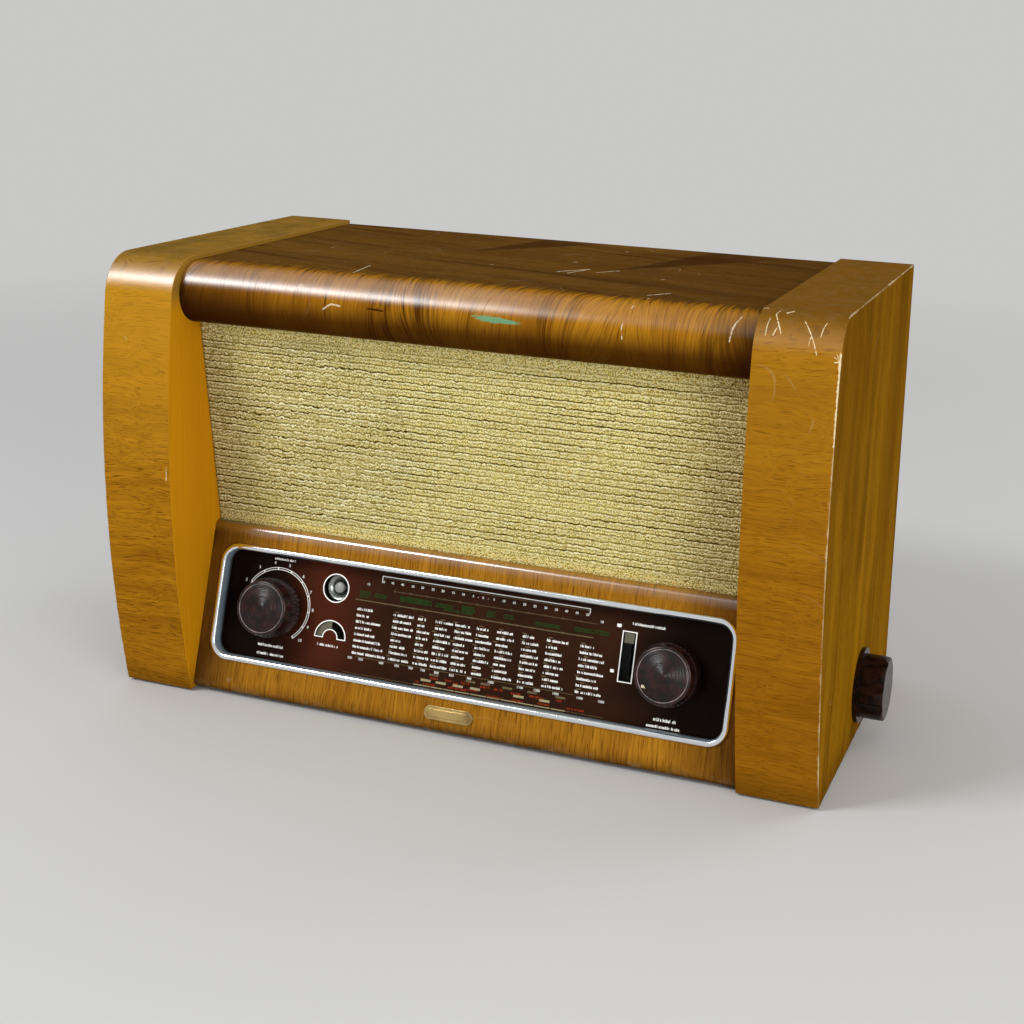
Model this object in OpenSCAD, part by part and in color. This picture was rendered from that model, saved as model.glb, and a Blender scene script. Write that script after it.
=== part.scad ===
// Table radio receiver in a wooden cabinet with rounded cheeks, a rolled top edge,
// a cloth front and a sloping dial panel. Millimetres, +Z up, -Y to the front,
// origin under the middle of the whole set.

/* [Cabinet] */
// Width over the two side faces
cab_w = 590; // [585:1:640]
// Depth from the back edge to the most forward line of the cheeks
cab_d = 312; // [308:1:340]
// Height from the table to the top of the cheeks
cab_h = 366; // [362:1:380]
// Width of each rounded cheek
cheek_w = 62; // [56:1:66]
// Radius of the long curve of the cheek fronts
sweep_r = 900; // [820:10:1200]
// Height of the most forward line of that curve
sweep_z = 230; // [215:1:245]
// Radius where a cheek front turns into its top
corner_r = 33; // [28:1:38]
// Thickness of the side boards
side_t = 12; // [10:0.5:14]
// Thickness of the bent front and top of a cheek
skin_t = 7; // [5:0.5:8]
// Thickness of the inner face of a cheek
inner_t = 9; // [7:0.5:11]
// Depth of the inner face of a cheek behind the cheek front
inner_depth = 100; // [90:1:115]
// Height of the felt feet
foot_h = 4; // [3:0.5:5]
// Diameter of the felt feet
foot_d = 24; // [18:1:30]
// Gap from the table to the lower edges of the cheeks
cheek_lift = 2; // [1:0.5:2.5]
// Thickness of the bottom board
floor_t = 10; // [8:0.5:11]

/* [Top and roll] */
// Radius of the rolled front edge of the top
roll_r = 25; // [22:0.5:28]
// Distance that the roll keeps behind the front of the cheeks
roll_back = 17; // [14:0.5:24]
// Step from the cheek tops down to the top panel
top_step = 3.5; // [2:0.5:5]
// Thickness of the bent top panel
top_t = 8; // [6:0.5:10]

/* [Cloth front] */
// Lean of the cloth front, its top towards the listener
cloth_lean = 9.7; // [8:0.1:11]
// Thickness of the cloth
cloth_t = 1.2; // [0.8:0.1:1.6]
// Thickness of the baffle board
baffle_t = 8; // [6:0.5:10]
// Height of the board left over above and below the loudspeaker, together
speaker_edge = 8; // [6:0.5:14]
// Place of the loudspeaker to the left of the middle
speaker_x = 129; // [110:1:140]
// Width of the loudspeaker rim round its opening
speaker_lip = 7; // [6:0.5:9]

/* [Dial panel] */
// Lean of the dial panel, its top away from the listener
dial_lean = 16.2; // [14:0.1:18]
// Length of the dial panel along its slope
panel_h = 141.6; // [140:0.1:143]
// Thickness of the dial panel
panel_t = 12; // [11.5:0.5:13]
// Width of the metal bezel
bezel_w = 445; // [430:1:450]
// Height of the metal bezel along the slope
bezel_h = 97; // [95:0.5:100]
// Corner radius of the bezel
bezel_r = 17; // [14:0.5:20]
// Width of the bezel's face
bezel_face = 5; // [4:0.5:6]
// Height of the bezel above the panel
bezel_rise = 2.5; // [1.5:0.5:4]
// Depth of the glass behind the panel face
glass_sink = 9; // [8:0.5:9.5]
// Thickness of the dial glass
glass_t = 3; // [2:0.5:3]
// Height of the middle of the bezel and knobs along the slope
dial_v = 76; // [75:0.5:77]
// Depth of the light box behind the glass
box_depth = 16; // [15:0.5:17]
// Thickness of the light box sheet
box_t = 1.5; // [1:0.1:2]

/* [Knobs] */
// Distance of each front knob from the middle
knob_x = 171; // [166:1:174]
// Diameter of the front knob caps
knob_d = 45; // [40:0.5:47]
// Diameter of the fluted skirts of the front knobs
skirt_d = 49; // [47.5:0.5:52]
// Height of the front knobs
knob_h = 23.5; // [20:0.5:26]
// Gap between a front knob and the glass
knob_gap = 2.5; // [2:0.5:4]
// Diameter of the control shafts
shaft_d = 6; // [5:0.5:6.5]
// Diameter of the side knob flanges
side_flange_d = 60; // [50:1:62]
// Diameter of the side knob bodies
side_knob_d = 52; // [44:1:56]
// Height of the side knobs from the cabinet side
side_knob_h = 23; // [20:1:26]
// Place of the side knobs behind the front of the cheeks
side_back = 174; // [168:1:180]
// Height of the side knobs above the table
side_z = 44; // [43:0.5:45]
// Stroke of the pulled volume knob
pull_stroke = 5; // [3:0.5:6]
// Stroke of the pressed tuning knob, less than its gap to the glass
push_stroke = 2; // [1:0.5:2]

/* [Tuning drive] */
// Travel of the dial pointer
pointer_travel = 180; // [170:1:180]
// Middle of the pointer's travel to the right of the middle
scale_x = 8; // [6:0.5:10]
// Radius at which the cord winds on the tuning shaft
wind_r = 4; // [3.8:0.1:4.4]
// Radius of the idler wheels at the cord
idler_r = 8; // [6:0.5:9]
// Thickness of the dial cord
cord_d = 1; // [0.8:0.1:1.2]
// Gap between the cord drum and the bottom board
drum_gap = 3; // [2.5:0.5:5]

/* [Chassis] */
// Width of the chassis
chassis_w = 330; // [325:1:345]
// Gap between the tuning capacitor and the chassis
chassis_gap = 4; // [3.5:0.5:6]
// Height of the chassis deck above the table
deck_z = 70; // [69:0.5:74]
// Sheet thickness of the chassis
chassis_t = 1.5; // [1:0.1:2]
// Height of the rubber bushes under the chassis
bush_h = 4; // [3:0.5:5]
// Diameter of the aerial and earth sockets
socket_d = 4; // [3:0.1:4.2]

/* [Back] */
// Thickness of the back cover
cover_t = 3; // [2:0.5:4]
// Depth of the back cover inside the cabinet edge
cover_sink = 4; // [3.5:0.5:6]

/* [Hidden] */

$fn = 64;
running = 0.05;               // radial clearance of shafts and slides in their bores
gap = 0.3;                    // clearance between neighbours that only lie beside each other
rear = cab_d / 2;
front = -cab_d / 2;
wi = cab_w / 2 - cheek_w;     // half width between the cheeks

// Cheek profile: one long arc, a corner arc tangent to it and a flat top
sweep_y = front + sweep_r;
corner_z = cab_h - corner_r;
corner_y = sweep_y - sqrt(pow(sweep_r - corner_r, 2) - pow(corner_z - sweep_z, 2));
join_angle = atan2(corner_z - sweep_z, corner_y - sweep_y);
floor_z = foot_h + floor_t;
foot_y = sweep_y - sqrt(pow(sweep_r, 2) - pow(sweep_z - cheek_lift, 2));
inner_end = front + inner_depth;
rail_z = cab_h - skin_t - 26;
foot_block = 8;               // thickness of the closed foot of a cheek's front block

// Rolled top
roll_y = front + roll_back + roll_r;
top_z = cab_h - top_step;
roll_z = top_z - roll_r;
tail_y = roll_y + 16;         // back end of the roll's flat underside

// Dial panel frame: x to the right, y up the slope, z out of the panel
panel_y = foot_y + 1.5;
panel_z = cheek_lift + 1;
panel_nose = 6;               // radius of its rounded top and bottom edges
glass_back = -glass_sink - glass_t;
box_back = glass_back - box_depth;
box_out = box_back - box_t;   // rear face of the light box
shank_w = bezel_w - 6;
shank_h = bezel_h - 6;

// Cloth frame: x to the right, y up the slope, z out of the cloth
panel_top_y = panel_y + panel_h * sin(dial_lean);
panel_top_z = panel_z + panel_h * cos(dial_lean);
cloth_y = panel_top_y + 6.5;
cloth_z = panel_top_z - 2;
cloth_len = (roll_z - roll_r - cloth_z) / cos(cloth_lean);
speaker_rim_r = (cloth_len - speaker_edge) / 2;
speaker_open_r = speaker_rim_r - speaker_lip;
speaker_s = cloth_len - speaker_rim_r - 3.5;
tuck = 7;                     // length of cloth and baffle behind the panel's top edge
baffle_back = -cloth_t - baffle_t;

// Tuning drive, in the dial panel frame
drum_r = pointer_travel / PI; // half a turn of the drum moves the pointer end to end
drum_x = scale_x;
drum_rim = drum_r + 1.7;
cord_w = box_out - 10.5;
drum_v = drum_rim + (floor_z + drum_gap - panel_z - (cord_w - 2.6) * sin(dial_lean)) / cos(dial_lean);
run_v = drum_v + drum_r + 4.2;
idler_v = run_v - idler_r;
idler_lx = scale_x - pointer_travel / 2 - 24;
idler_rx = scale_x + pointer_travel / 2 + 24;
rail_v = run_v + 6.5;
rail_w = cord_w + 4;
rail_d = 3;
pointer_w = glass_back - 3.5;
carriage_w = 16;
cord_gap = 0.3;
wheels = [[idler_lx, idler_v, idler_r], [idler_rx, idler_v, idler_r],
    [knob_x, dial_v, wind_r], [drum_x, drum_v, drum_r]];

// Tuning capacitor behind the drum, in the dial panel frame
plate_t = 0.8;
plate_n = 8;
plate_pitch = 4.2;
plate_r = 21;
cap_front = cord_w - 10;
cap_len = plate_n * plate_pitch + 8;
cap_back = cap_front - cap_len;
frame_w = 56;                 // width and height of the capacitor's end plates
frame_drop = 30;              // lower edge of the end plates below the axis
cap_top_y = panel_y + (drum_v + frame_w - frame_drop) * sin(dial_lean) - cap_back * cos(dial_lean);

// Front controls, in the dial panel frame
knob_w = knob_gap - glass_sink;             // back of the knob skirts
pot_back = box_out - 24;                    // rear face of the volume control
wind_front = cord_d / 2 + push_stroke + 0.7; // front edge of the winding groove, before the cord
pull_slot = pull_stroke + 0.5;              // room for the volume plunger to travel
side_gap = 0.5;                             // gap between a side knob and the cabinet
hook_w = cord_w - 12.5 - push_stroke - 8;   // rear tab that holds the tuning shaft

// Indicators in the dial panel frame
eye_x = -120.5;
eye_v = dial_v + 23.3;
eye_d = 26;
tone_x = -119.5;
tone_v = dial_v - 17.5;
flag_r = 13;
band_x = 133.7;
band_top_v = dial_v + 21;     // middle of the band flag at rest
band_drop = 27;
lamp_x = [-88, 110];
lamp_v = dial_v - 27;

// Chassis, its parts set out from its ends in X and by fractions of its depth in Y
cover_y = rear - cover_sink - cover_t;
chassis_y = cap_top_y + chassis_gap;
chassis_d = cover_y - 9 - chassis_y;
end_x = chassis_w / 2;
function deck(x, part) = [x, chassis_y + part * chassis_d];
chassis_z = floor_z + bush_h;
deck_top = deck_z + chassis_t;
side_y = front + side_back;
bolt_at = [for (sx = [-1, 1], dy = [14, chassis_d - 14]) [sx * (end_x - 20), chassis_y + dy]];
valve_at = [deck(36, 0.31), deck(-58, 0.28), deck(-10, 0.705), deck(end_x - 73, 0.197),
    deck(end_x - 24, 0.21)];
can_at = [deck(-12, 0.27), deck(-60, 0.705)];
cover_x = cab_w / 2 - side_t - gap;
cover_z0 = floor_z + 1;
cover_z1 = top_z - top_t - 1;
cover_screw_at = [for (sx = [-1, 1], fz = [0.06, 0.5, 0.94])
    [sx * (cover_x - 7), cover_z0 + fz * (cover_z1 - cover_z0)]];
strip_z = floor_z + 34;
grommet_x = end_x - 45;       // place of the grommet for the mains lead
mains_at = deck(end_x - 53, 0.69);
output_at = deck(43 - end_x, 0.69);
smoother_at = deck(end_x - 115, 0.746);
coils_at = deck(55 - end_x, 0.38);
tags_at = deck(end_x - 205, 0.705);
can_h = 72;
wafer_at = [end_x - 99, end_x - 59, end_x - 43]; // wafers of the waveband switch
band_reach = wafer_at[0] - 14; // inner end of the waveband shaft
cone_r = speaker_open_r - 9;
strip_x = 75 - end_x;
socket_at = [for (i = [0:3]) strip_x - 24 + 16 * i];

// Flat outline, extruded along X from x0 to x1, its axes turned to Y and Z
module along_x(x0, x1) {
    translate([x0, 0, 0]) rotate([90, 0, 90]) linear_extrude(x1 - x0) children();
}

module on_dial() {
    translate([0, panel_y, panel_z]) rotate([90 - dial_lean, 0, 0]) children();
}

module on_cloth() {
    translate([0, cloth_y, cloth_z]) rotate([90 + cloth_lean, 0, 0]) children();
}

// Side frame of one side: z out of the side board, at the side knob axis
module on_side(side) {
    translate([side * cab_w / 2, side_y, side_z]) rotate([0, side * 90, 0]) children();
}

module rounded(w, h, r) {
    square([w - 2 * r, h], center = true);
    square([w, h - 2 * r], center = true);
    for (sx = [-1, 1], sy = [-1, 1]) translate([sx * (w / 2 - r), sy * (h / 2 - r)]) circle(r);
}

module ring(outer_r, inner_r, h) {
    difference() {
        cylinder(r = outer_r, h = h);
        translate([0, 0, -1]) cylinder(r = inner_r, h = h + 2);
    }
}

function arc(centre, r, from, to, steps, first = 0) = [for (i = [first:steps])
    let (a = from + (to - from) * i / steps) centre + r * [cos(a), sin(a)]];

// Side view of a cheek, set in by a wall thickness, from the height low upwards
module cheek_outline(inset, low) {
    foot_angle = 180 + asin((sweep_z - low) / (sweep_r - inset));
    polygon(concat(arc([corner_y, corner_z], corner_r - inset, 90, join_angle, 16),
        arc([sweep_y, sweep_z], sweep_r - inset, join_angle, foot_angle, 24, 1),
        [[rear, low], [rear, cab_h - inset]]));
}

// A cheek is a hollow built-up block: side board, bent skin, inner face and closed foot
module cheek() {
    difference() {
        along_x(wi, cab_w / 2) cheek_outline(0, cheek_lift);
        along_x(wi + inner_t, cab_w / 2 - side_t) cheek_outline(skin_t, cheek_lift + foot_block);
        // open to the inside of the cabinet, apart from a rail under the top
        translate([wi - 1, inner_end, -1]) cube([cheek_w - side_t + 1, cab_d, rail_z + 1]);
        translate([wi - 1, cover_y, -1]) cube([cheek_w - side_t + 1, cab_d, cab_h - skin_t + 1]);
        translate([0, side_y, side_z]) rotate([0, 90, 0]) cylinder(d = shaft_d + 4, h = cab_w);
    }
}

module cheek_right() { color("peru") cheek(); }
module cheek_left() { color("peru") mirror([1, 0, 0]) cheek(); }

module top_panel() {
    color("saddlebrown") along_x(-wi, wi) {
        translate([roll_y, top_z - top_t]) square([rear - roll_y, top_t]);
        translate([roll_y, roll_z - roll_r]) square([tail_y - roll_y, top_t]);
        difference() {
            translate([roll_y, roll_z]) circle(roll_r, $fn = 128);
            translate([roll_y, roll_z]) circle(roll_r - top_t, $fn = 128);
            translate([roll_y, roll_z - roll_r - 1]) square(2 * roll_r + 2);
        }
    }
}

module roll_core() {
    color("burlywood") along_x(-wi, wi) {
        translate([roll_y, roll_z - roll_r + top_t])
            square([tail_y - roll_y, 2 * (roll_r - top_t)]);
        difference() {
            translate([roll_y, roll_z]) circle(roll_r - top_t, $fn = 128);
            translate([roll_y, roll_z - roll_r]) square(2 * roll_r);
        }
    }
}

module bottom_board() {
    color("tan") difference() {
        union() {
            translate([side_t - cab_w / 2, inner_end, foot_h])
                cube([cab_w - 2 * side_t, cover_y - inner_end, floor_t]);
            translate([-wi, front, foot_h]) cube([2 * wi, inner_end - front, floor_t]);
        }
        on_dial() translate([-cab_w / 2, -60, -panel_t]) cube([cab_w, panel_h, 200]);
        for (p = bolt_at) translate([p[0], p[1], foot_h - 1]) {
            cylinder(d = 5.6, h = floor_t + 2);
            cylinder(d = 11, h = 5);
        }
    }
}

module felt_feet() {
    color("dimgray") for (sx = [-1, 1], y = [inner_end + 20, cover_y - 24])
        translate([sx * (cab_w / 2 - side_t - 20), y, 0]) cylinder(d = foot_d, h = foot_h);
}

module back_battens() {
    color("burlywood") for (sx = [-1, 1]) difference() {
        translate([sx * (cab_w / 2 - side_t - 7) - 7, cover_y - 14, floor_z])
            cube([14, 14, rail_z - floor_z]);
        for (p = cover_screw_at) translate([p[0], cover_y + 1, p[1]])
            rotate([90, 0, 0]) cylinder(d = 3.2, h = 13);
    }
}

module panel_section() {
    foot_v = panel_nose * (1 + sin(dial_lean)) / cos(dial_lean);
    translate([foot_v, -panel_t]) square([panel_h - panel_nose - foot_v, panel_t]);
    translate([panel_h - panel_nose, -panel_nose]) circle(panel_nose);
    translate([panel_h - panel_nose, -panel_t]) square([panel_nose, panel_t - panel_nose]);
    translate([foot_v, -panel_nose]) circle(panel_nose);
    polygon([[foot_v - panel_nose * cos(dial_lean), -panel_nose * (1 + sin(dial_lean))],
        [panel_t * tan(dial_lean), -panel_t], [foot_v + 1, -panel_t], [foot_v + 1, -panel_nose]]);
}

module dial_panel() {
    color("chocolate") difference() {
        on_dial() along_x(0.1 - wi, wi - 0.1) panel_section();
        on_dial() translate([0, dial_v, -panel_t - 1]) linear_extrude(panel_t + 2)
            rounded(shank_w + 2 * gap, shank_h + 2 * gap, bezel_r - 3 + gap);
        on_cloth() translate([-wi - 1, -tuck - gap, -40]) cube([2 * wi + 2, 60, 40 + gap]);
    }
}

module badge_plate() {
    color("goldenrod") on_dial() translate([-2, 16, 0]) {
        linear_extrude(1.2) rounded(42, 11, 5.4);
        translate([0, 0, 1.2]) linear_extrude(0.8) rounded(36, 6, 2.9);
    }
}

module baffle_board() {
    color("wheat") difference() {
        on_cloth() translate([-wi, -tuck, baffle_back]) cube([2 * wi, cloth_len + tuck, baffle_t]);
        on_cloth() translate([-speaker_x, speaker_s, baffle_back - 1])
            cylinder(r = speaker_open_r, h = baffle_t + 2, $fn = 128);
        translate([-wi - 1, front, roll_z - roll_r]) cube([2 * wi + 2, cab_d, 40]);
    }
}

module grille_cloth() {
    color("khaki") difference() {
        on_cloth() translate([-wi + gap, -tuck, -cloth_t])
            cube([2 * (wi - gap), cloth_len + tuck, cloth_t]);
        translate([-wi - 1, front, roll_z - roll_r - gap]) cube([2 * wi + 2, cab_d, 40]);
    }
}

module dial_bezel() {
    color("silver") on_dial() translate([0, dial_v, 0]) difference() {
        union() {
            linear_extrude(bezel_rise) rounded(bezel_w, bezel_h, bezel_r);
            translate([0, 0, -glass_sink]) linear_extrude(glass_sink + 1)
                rounded(shank_w, shank_h, bezel_r - 3);
        }
        translate([0, 0, -glass_sink - 1]) linear_extrude(glass_sink + bezel_rise + 2)
            rounded(bezel_w - 2 * bezel_face, bezel_h - 2 * bezel_face, bezel_r - bezel_face);
    }
}

module dial_glass() {
    color([0.16, 0.09, 0.06]) on_dial() translate([0, dial_v, glass_back]) difference() {
        linear_extrude(glass_t) rounded(shank_w, shank_h, bezel_r - 3);
        for (sx = [-1, 1]) translate([sx * knob_x, 0, -1]) cylinder(d = shaft_d + 4, h = glass_t + 2);
    }
}

module light_box() {
    color("whitesmoke") on_dial() translate([0, dial_v, 0]) difference() {
        union() {
            translate([0, 0, glass_back - box_t]) linear_extrude(box_t)
                rounded(2 * wi - 4, bezel_h + 17, 10);
            translate([0, 0, box_out]) linear_extrude(box_depth + box_t)
                rounded(shank_w - 3, shank_h - 3, bezel_r - 4);
        }
        translate([0, 0, box_back]) linear_extrude(box_depth + 1)
            rounded(shank_w - 3 - 2 * box_t, shank_h - 3 - 2 * box_t, bezel_r - 5);
        for (sx = [-1, 1]) translate([sx * knob_x, 0, box_back - 5]) cylinder(d = 10, h = 10);
        translate([eye_x, eye_v - dial_v, box_back - 5]) cylinder(d = eye_d + 2, h = 10);
        translate([tone_x, tone_v - dial_v, box_back - 5]) cylinder(d = 3 + 2 * running, h = 10);
        for (x = lamp_x) translate([x, lamp_v - dial_v, box_back - 5]) cylinder(d = 12, h = 10);
        translate([band_x - 1.6, band_top_v - band_drop - dial_v - 3, box_back - 5])
            cube([3.2, band_drop + 6, 10]);
        translate([drum_x - pointer_travel / 2 - 3, 0, pointer_w - 2])
            cube([pointer_travel + 6, bezel_h, 4]);
    }
}

module dial_lamps() {
    for (x = lamp_x) on_dial() translate([x, lamp_v, 0]) {
        color("lightyellow") translate([0, 0, box_back + 2]) {
            sphere(d = 9);
            translate([0, 0, -2]) cylinder(d = 7, h = 2);
        }
        color("goldenrod") translate([0, 0, box_out - 6]) cylinder(d = 9, h = 6 + box_t);
        color("gray") translate([0, 0, box_out - 1.2]) ring(8.5, 4.5, 1.2);
    }
}

module magic_eye() {
    on_dial() translate([eye_x, eye_v, 0]) {
        color("lightgray") rotate_extrude() polygon(concat([[0, glass_back - 5], [7, glass_back - 5.4]],
            [for (a = [0:15:90]) [eye_d / 2 - 4 + 4 * sin(a), glass_back - 10 + 4 * cos(a)]],
            [[eye_d / 2, box_back - 32], [eye_d / 2 - 3, box_back - 36], [0, box_back - 36]]));
        color("saddlebrown") translate([0, 0, box_back - 50]) cylinder(d = eye_d + 1, h = 14);
    }
}

module eye_clamp() {
    color("gainsboro") on_dial() translate([eye_x, eye_v, 0]) {
        translate([0, 0, box_out - 7]) ring(eye_d / 2 + 2.5, eye_d / 2 + 0.2, 7);
        translate([0, 0, box_back - 53]) ring(eye_d / 2 + 3, 5, 3);
        for (sx = [-1, 1]) translate([sx * (eye_d / 2 + 1.5) - 0.6, -2, box_back - 53])
            cube([1.2, 4, 53 - box_t - 2]);
    }
}

module drive_brackets() {
    color("lightslategray") on_dial() for (x = [idler_lx, idler_rx]) {
        translate([x - 12, dial_v + shank_h / 2 - 6, box_back - 2 * box_t])
            cube([24, rail_v - dial_v - shank_h / 2 + 12, box_t]);
        translate([x, idler_v, cord_w - 4.2]) cylinder(d = 3, h = box_out - cord_w + 4.2);
        translate([x - 3, rail_v - 4, rail_w - 3])
            cube([6, 8, box_back - 2 * box_t - rail_w + 3]);
    }
}

module pointer_rail() {
    color("silver") on_dial() translate([idler_lx + 3, rail_v, rail_w]) rotate([0, 90, 0])
        cylinder(d = rail_d, h = idler_rx - idler_lx - 6);
}

module pointer_carriage() {
    arm_w = rail_w + 2.5;
    color("ivory") on_dial() translate([scale_x, 0, 0]) {
        difference() {
            translate([-carriage_w / 2, run_v - 1.6, cord_w - 2])
                cube([carriage_w, rail_v - run_v + 4.6, arm_w - cord_w + 2]);
            translate([-carriage_w, rail_v, rail_w]) rotate([0, 90, 0])
                cylinder(r = rail_d / 2 + running, h = 2 * carriage_w);
            translate([-carriage_w, run_v, cord_w]) rotate([0, 90, 0])
                cylinder(r = cord_d / 2 + cord_gap, h = 2 * carriage_w);
        }
        translate([-2, dial_v + bezel_h / 2 + 3, arm_w]) cube([4, rail_v - dial_v - bezel_h / 2, 1.2]);
        translate([-2, dial_v + bezel_h / 2 + 3, arm_w]) cube([4, 1.2, pointer_w - arm_w + 1]);
    }
}

module pointer() {
    color("red") on_dial() translate([scale_x, dial_v - 38, pointer_w]) rotate([-90, 0, 0])
        cylinder(d = 1.2, h = bezel_h / 2 + 41);
}

module idler() {
    color("ivory") difference() {
        rotate_extrude() polygon([[0, -2.5], [idler_r + 1.2, -2.5], [idler_r + 1.2, -1.8],
            [idler_r - 0.8, -0.9], [idler_r - 0.8, 0.9], [idler_r + 1.2, 1.8],
            [idler_r + 1.2, 2.5], [0, 2.5]]);
        translate([0, 0, -5]) cylinder(r = 1.5 + running, h = 10);
    }
}

module idler_left() { on_dial() translate([idler_lx, idler_v, cord_w]) idler(); }
module idler_right() { on_dial() translate([idler_rx, idler_v, cord_w]) idler(); }

// Direction of the outward normal of the cord where it leaves wheel a for wheel b
function leave(a, b) =
    atan2(b[1] - a[1], b[0] - a[0]) + acos((a[2] - b[2]) / norm([b[0] - a[0], b[1] - a[1]]));
function on_wheel(a, t) = [a[0] + a[2] * cos(t), a[1] + a[2] * sin(t)];
// Outward angles of the cord round wheel i, from where it meets the wheel to where it leaves
function wrap(i) = let (n = len(wheels), t = leave(wheels[(i + n - 1) % n], wheels[i]),
    u = leave(wheels[i], wheels[(i + 1) % n]), turn = (t - u + 720) % 360,
    steps = ceil(turn / min(20, 290 / wheels[i][2]))) [for (k = [0:steps]) t - turn * k / steps];

// The cord is one closed tube round the four wheels
module dial_cord() {
    rings = [for (i = [0:len(wheels) - 1], t = wrap(i)) [i, t]];
    sides = 8;
    n = len(rings);
    points = [for (g = rings, k = [0:sides - 1]) let (w = wheels[g[0]],
        r = w[2] + cord_d / 2 * cos(k * 360 / sides))
        [w[0] + r * cos(g[1]), w[1] + r * sin(g[1]), cord_d / 2 * sin(k * 360 / sides)]];
    faces = [for (j = [0:n - 1], k = [0:sides - 1], f = [0, 1]) let (a = j * sides, b = (j + 1) % n * sides,
        m = (k + 1) % sides) f == 0 ? [a + k, b + m, a + m] : [a + k, b + k, b + m]];
    color("black") on_dial() translate([0, 0, cord_w]) polyhedron(points, faces);
}

module cord_drum() {
    color("gainsboro") on_dial() translate([drum_x, drum_v, cord_w]) difference() {
        rotate_extrude($fn = 128) polygon([[0, -7], [7, -7], [7, -3], [drum_r - 7, -3], [drum_r - 7, -2.6],
            [drum_rim, -2.6], [drum_rim, -1.9], [drum_r - 0.8, -1], [drum_r - 0.8, 1],
            [drum_rim, 1.9], [drum_rim, 2.6], [drum_r - 7, 2.6], [drum_r - 7, -1.5],
            [7, -1.5], [7, 3], [0, 3]]);
        translate([0, 0, -8]) cylinder(r = shaft_d / 2 + 0.01, h = 12);
        for (a = [0:3]) rotate([0, 0, 45 + 90 * a]) translate([drum_r / 2, 0, -8])
            cylinder(r = drum_r / 4.5, h = 16);
    }
}

// The plates of the rotor turn between the plates of the stator
module half_plate(r, t) {
    intersection() {
        cylinder(r = r, h = t);
        translate([-r, 0, -1]) cube([2 * r, 2 * r, t + 2]);
    }
}

module capacitor_rotor() {
    color("silver") on_dial() translate([drum_x, drum_v, 0]) {
        translate([0, 0, cap_back - 1]) cylinder(d = shaft_d, h = cap_len + 14);
        for (i = [0:plate_n - 1]) translate([0, 0, cap_front - 6 - i * plate_pitch])
            rotate([0, 0, 90]) half_plate(plate_r, plate_t);
    }
}

module capacitor_frame() {
    color("lightgray") on_dial() translate([drum_x, drum_v, 0]) difference() {
        union() {
            for (w = [cap_front - 2, cap_back])
                translate([-frame_w / 2, -frame_drop, w]) cube([frame_w, frame_w, 2]);
            translate([-frame_w / 2, -frame_drop, cap_back]) cube([frame_w, 2, cap_len]);
            for (sx = [-1, 1]) translate([sx * 24.5, -6, cap_back])
                cylinder(d = 4, h = cap_len, $fn = 32);
            for (i = [0:plate_n - 2])
                translate([0, 0, cap_front - 6 - (i + 0.5) * plate_pitch]) difference() {
                    translate([-25, -25, 0]) cube([50, 21, plate_t]);
                    translate([0, 0, -1]) cylinder(r = 6, h = 3);
                }
        }
        translate([0, 0, cap_back - 1]) cylinder(r = shaft_d / 2 + running, h = cap_len + 2);
    }
}

module capacitor_bracket() {
    foot_v = (floor_z - panel_z - cap_back * sin(dial_lean)) / cos(dial_lean);
    foot_edge = panel_y + foot_v * sin(dial_lean) - cap_back * cos(dial_lean);
    color("lightslategray") {
        difference() {
            on_dial() translate([drum_x - 24, 0, cap_back - 1.5]) cube([48, drum_v + 16, 1.5]);
            translate([-cab_w / 2, front, -50]) cube([cab_w, cab_d, 50 + floor_z]);
            on_dial() translate([drum_x, drum_v, cap_back - 3]) cylinder(d = shaft_d + 4, h = 6);
        }
        translate([drum_x - 22, foot_edge + 0.7, floor_z])
            cube([44, chassis_y - foot_edge - 2.7, 1.5]);
    }
}

// Front knob in its own frame: z out of the panel, from the back of the skirt
module front_knob() {
    cap_r = knob_d / 2;
    skirt_r = skirt_d / 2;
    difference() {
        union() {
            linear_extrude(knob_h - 9) difference() {
                circle(skirt_r, $fn = 96);
                for (i = [0:39]) rotate(9 * i) translate([skirt_r + 0.7, 0]) circle(1.35, $fn = 24);
            }
            rotate_extrude($fn = 96) polygon(concat([[0, 1]],
                [[skirt_r - 0.8, 1], [skirt_r - 0.8, knob_h - 8.5]],
                [for (a = [0:15:90]) [cap_r - 2 + 2 * cos(a), knob_h - 2 + 2 * sin(a)]],
                [[cap_r - 2.6, knob_h - 0.8], [0, knob_h - 1.8]]));
        }
        translate([0, 0, -1]) cylinder(r = 18, h = 7);
        translate([0, 0, -2]) cylinder(r = shaft_d / 2 + 0.01, h = 16);
    }
    difference() {
        cylinder(r = 8, h = 7);
        translate([0, 0, -1]) cylinder(r = shaft_d / 2 + 0.01, h = 9);
        translate([0, 0, 3.5]) rotate([0, 90, 0]) cylinder(d = 3, h = 12);
    }
}

module tuning_knob() {
    color([0.22, 0.09, 0.07]) on_dial() translate([knob_x, dial_v, knob_w]) front_knob();
    color("ivory") on_dial() translate([knob_x, dial_v, knob_w]) rotate([0, 0, 215])
        translate([knob_d / 2 - 5, 0, knob_h - 1.6]) cylinder(d = 2.4, h = 1.2, $fn = 24);
    color("gray") on_dial() translate([knob_x, dial_v, knob_w + 3.5]) rotate([0, 90, 0])
        translate([0, 0, shaft_d / 2 + 0.3]) cylinder(d = 2.9, h = 4.5);
}

module volume_knob() {
    color([0.22, 0.09, 0.07]) on_dial() translate([-knob_x, dial_v, knob_w]) front_knob();
    color("gray") on_dial() translate([-knob_x, dial_v, knob_w + 3.5]) rotate([0, 90, 0])
        translate([0, 0, shaft_d / 2 + 0.3]) cylinder(d = 2.9, h = 4.5);
}

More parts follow.
